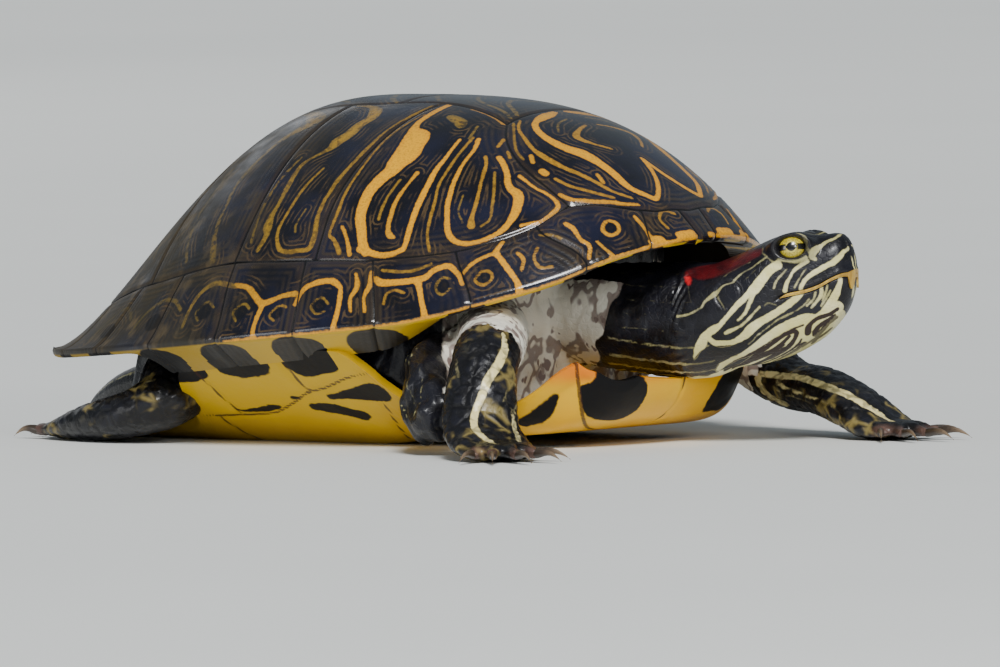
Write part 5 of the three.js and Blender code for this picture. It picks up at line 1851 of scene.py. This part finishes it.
def edge_strip(name, lifts, proud, notch, cusp, front, count=360):
    """A closed strip between two lifts from the mouth line."""

    def place(u, v):
        around = [0, 0.08, 0.42, 0.5, 0.58, 0.92, 1]
        rise = np.interp(v, around, [0, 0, 1, 1, 1, 0, 0])
        out = np.interp(v, around, [-0.6, 1, 1, 0, -1.4, -1.4, -0.6])
        middle = np.abs(u - 0.5) * 2
        droop = notch * np.exp(-(middle / 0.02) ** 2) - cusp * np.exp(-((middle - 0.065) / 0.04) ** 2)
        tall = ease(np.minimum(u, 1 - u) / 0.06) + front * np.exp(-(middle / 0.10) ** 2)
        lift = lifts[0] + (lifts[1] - lifts[0]) * rise * tall
        d, v_across, z = jaw_line(u, lift)
        way = np.stack([d - 44, v_across * 1.6], -1)
        way *= (out * proud / norm(way, axis=1))[:, None]
        return in_head(d + way[:, 0], v_across + way[:, 1], z + droop * (1 - rise))

    piece = sheet(name, count, 24, place)
    edit(piece)
    bpy.ops.mesh.remove_doubles(threshold=0.00002)
    bpy.ops.mesh.select_all(action="DESELECT")
    bpy.ops.mesh.select_mode(type="EDGE")
    bpy.ops.mesh.select_non_manifold()
    bpy.ops.mesh.edge_face_add()
    leave_edit()
    settle(piece)
    bpy.ops.object.shade_smooth_by_angle(angle=math.radians(60))
    return piece


print("jaw's tip at d =", round(float(jaw_line(np.array([0.5]), 0)[0][0]), 1))

# %% Both edges and their horn
upper_edge = edge_strip("beak_upper", (-0.05, 0.55), 0.3, 1, 4.4, 2.0)
lower_edge = edge_strip("beak_lower", (-0.12, -0.42), 0.25, 0.3, 0, 1.8)
horny = Finish("beak_horn", IOR=1.5, Coat_Weight=0.4, Coat_Roughness=0.2)
streaks = horny.noise(420, 3, where=horny.scaled(1, 1, 0.25))
ochre = horny.blend(streaks.step(0.35, 0.7), (0.36, 0.20, 0.02), (0.66, 0.42, 0.06))
BEAK = horny.wear(ochre, 0.32 + streaks * 0.2, streaks, depth=0.0001, strength=0.2)
for piece in (upper_edge, lower_edge):
    piece.data.materials.append(BEAK)
    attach(piece, "root")
print("beak edges:", len(upper_edge.data.polygons) + len(lower_edge.data.polygons), "faces")

# %% [markdown]
# ## Claws
# Eighteen claws: five on each forefoot and four on each hindfoot. A claw is a cone of horn that leaves the
# toe level and hooks down to the floor. A slider's front claws are long.

# %% Claws
def claw(name, node_name, limb, k):
    reach, r, length = limb["reach"][k], limb["toe"], limb["claw"]
    rows = []
    for share, z, wide in ((-0.14, 2.75, 0.60), (0.05, 3.0, 0.62), (0.3, 3.35, 0.5), (0.55, 3.2, 0.38),
                           (0.8, 2.2, 0.24), (1, 0.85, 0.09)):
        rows.append((*toe_place(limb, k, reach + length * share), z, r * wide * 0.82, r * wide))
    piece = tube(name, rows, 16)
    along_claw = vertices_mm(piece)[:, :2] - np.array(limb["stations"][PALM][:2])
    store(piece, "tip", (norm(along_claw, axis=1) - reach) / length)
    only(piece)
    bpy.ops.object.shade_smooth()
    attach(piece, "root")
    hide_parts(node_name)
    return piece


print("front claws, mm:", LIMBS["forelimb_right"]["claw"])

# %% Claw horn, and all claws
claw_finish = Finish("claw_horn", IOR=1.5, Coat_Weight=0.3, Coat_Roughness=0.2)
tip = claw_finish.attribute("tip")
grain = claw_finish.noise(900, 3)
paler = (tip + (grain - 0.5) * 0.3).step(0.15, 0.95)
colour = claw_finish.blend(paler, (0.035, 0.022, 0.014), (0.22, 0.15, 0.09))
CLAW = claw_finish.wear(colour, 0.3 + grain * 0.2, grain, depth=0.0001, strength=0.3)
claws = []
for word, limb in LIMBS.items():
    for k in range(len(limb["toes"])):
        made = claw(f"{word}_claw_horn_{k + 1}", f"{word}_claw_{k + 1}", limb, k)
        made.data.materials.append(CLAW)
        claws.append(made)
print("claws:", len(claws))

# %% [markdown]
# ## Floor, backdrop and light
# A plain pale floor keeps the dark animal readable. One soft sun, about as wide as a window,
# high on the near side shows the relief, and lights the whole floor evenly. Small lamps fill from the
# front and from below the rim, and one rims the back of the shell.

# %% Floor
FLOOR_SIZE = 14.0

deselect()
bpy.ops.mesh.primitive_plane_add(size=FLOOR_SIZE, location=(0, 0, 0))
floor = bpy.context.object
floor.name = "floor"
paint = Finish("floor_paint", IOR=1.45)
grey = paint.blend(paint.noise(3, 2), (0.82, 0.83, 0.80), (0.86, 0.87, 0.84))
floor.data.materials.append(paint.wear(grey, 0.55 + paint.noise(8, 3) * 0.15))
print("floor:", FLOOR_SIZE, "m")

# %% Lamps and sky
LAMPS = [("key", "SUN", (1.5, -1.6, 2.1), 0.3, 3.5), ("front", "AREA", (1.9, -1, 0.85), 0.4, 10),
         ("rim", "AREA", (-2.2, 1.4, 0.7), 1.2, 2.5), ("low", "AREA", (-0.9, -1.9, 0.35), 0.7, 6)]
for name, kind, place, size, energy in LAMPS:
    deselect()
    bpy.ops.object.light_add(type=kind, location=place)
    lamp = bpy.context.object
    lamp.name = name
    lamp.data.energy = energy
    if kind == "SUN":
        lamp.data.angle = size
    else:
        lamp.data.size = size
    lamp.rotation_euler = (Vector(place) - Vector((0, 0, 0.05))).to_track_quat("Z", "Y").to_euler()
world = bpy.data.worlds.new("sky")
bpy.context.scene.world = world
world.use_nodes = True
world.node_tree.nodes["Background"].inputs[0].default_value = (0.74, 0.85, 0.95, 1)
world.node_tree.nodes["Background"].inputs[1].default_value = 0.26
print("lamps:", len(LAMPS))

# %% [markdown]
# ## Hidden solids
# The solids that the new pieces stand over take the bone's finish, and the faces still shown are counted.

# %% Finish of the solids, and faces shown
for name, node_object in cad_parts.items():
    node_object.data.materials.clear()
    node_object.data.materials.append(BONE)
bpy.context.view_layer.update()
shown = [thing for thing in bpy.data.objects if thing.type == "MESH" and not thing.hide_render]
print("faces shown:", sum(len(thing.data.polygons) for thing in shown))
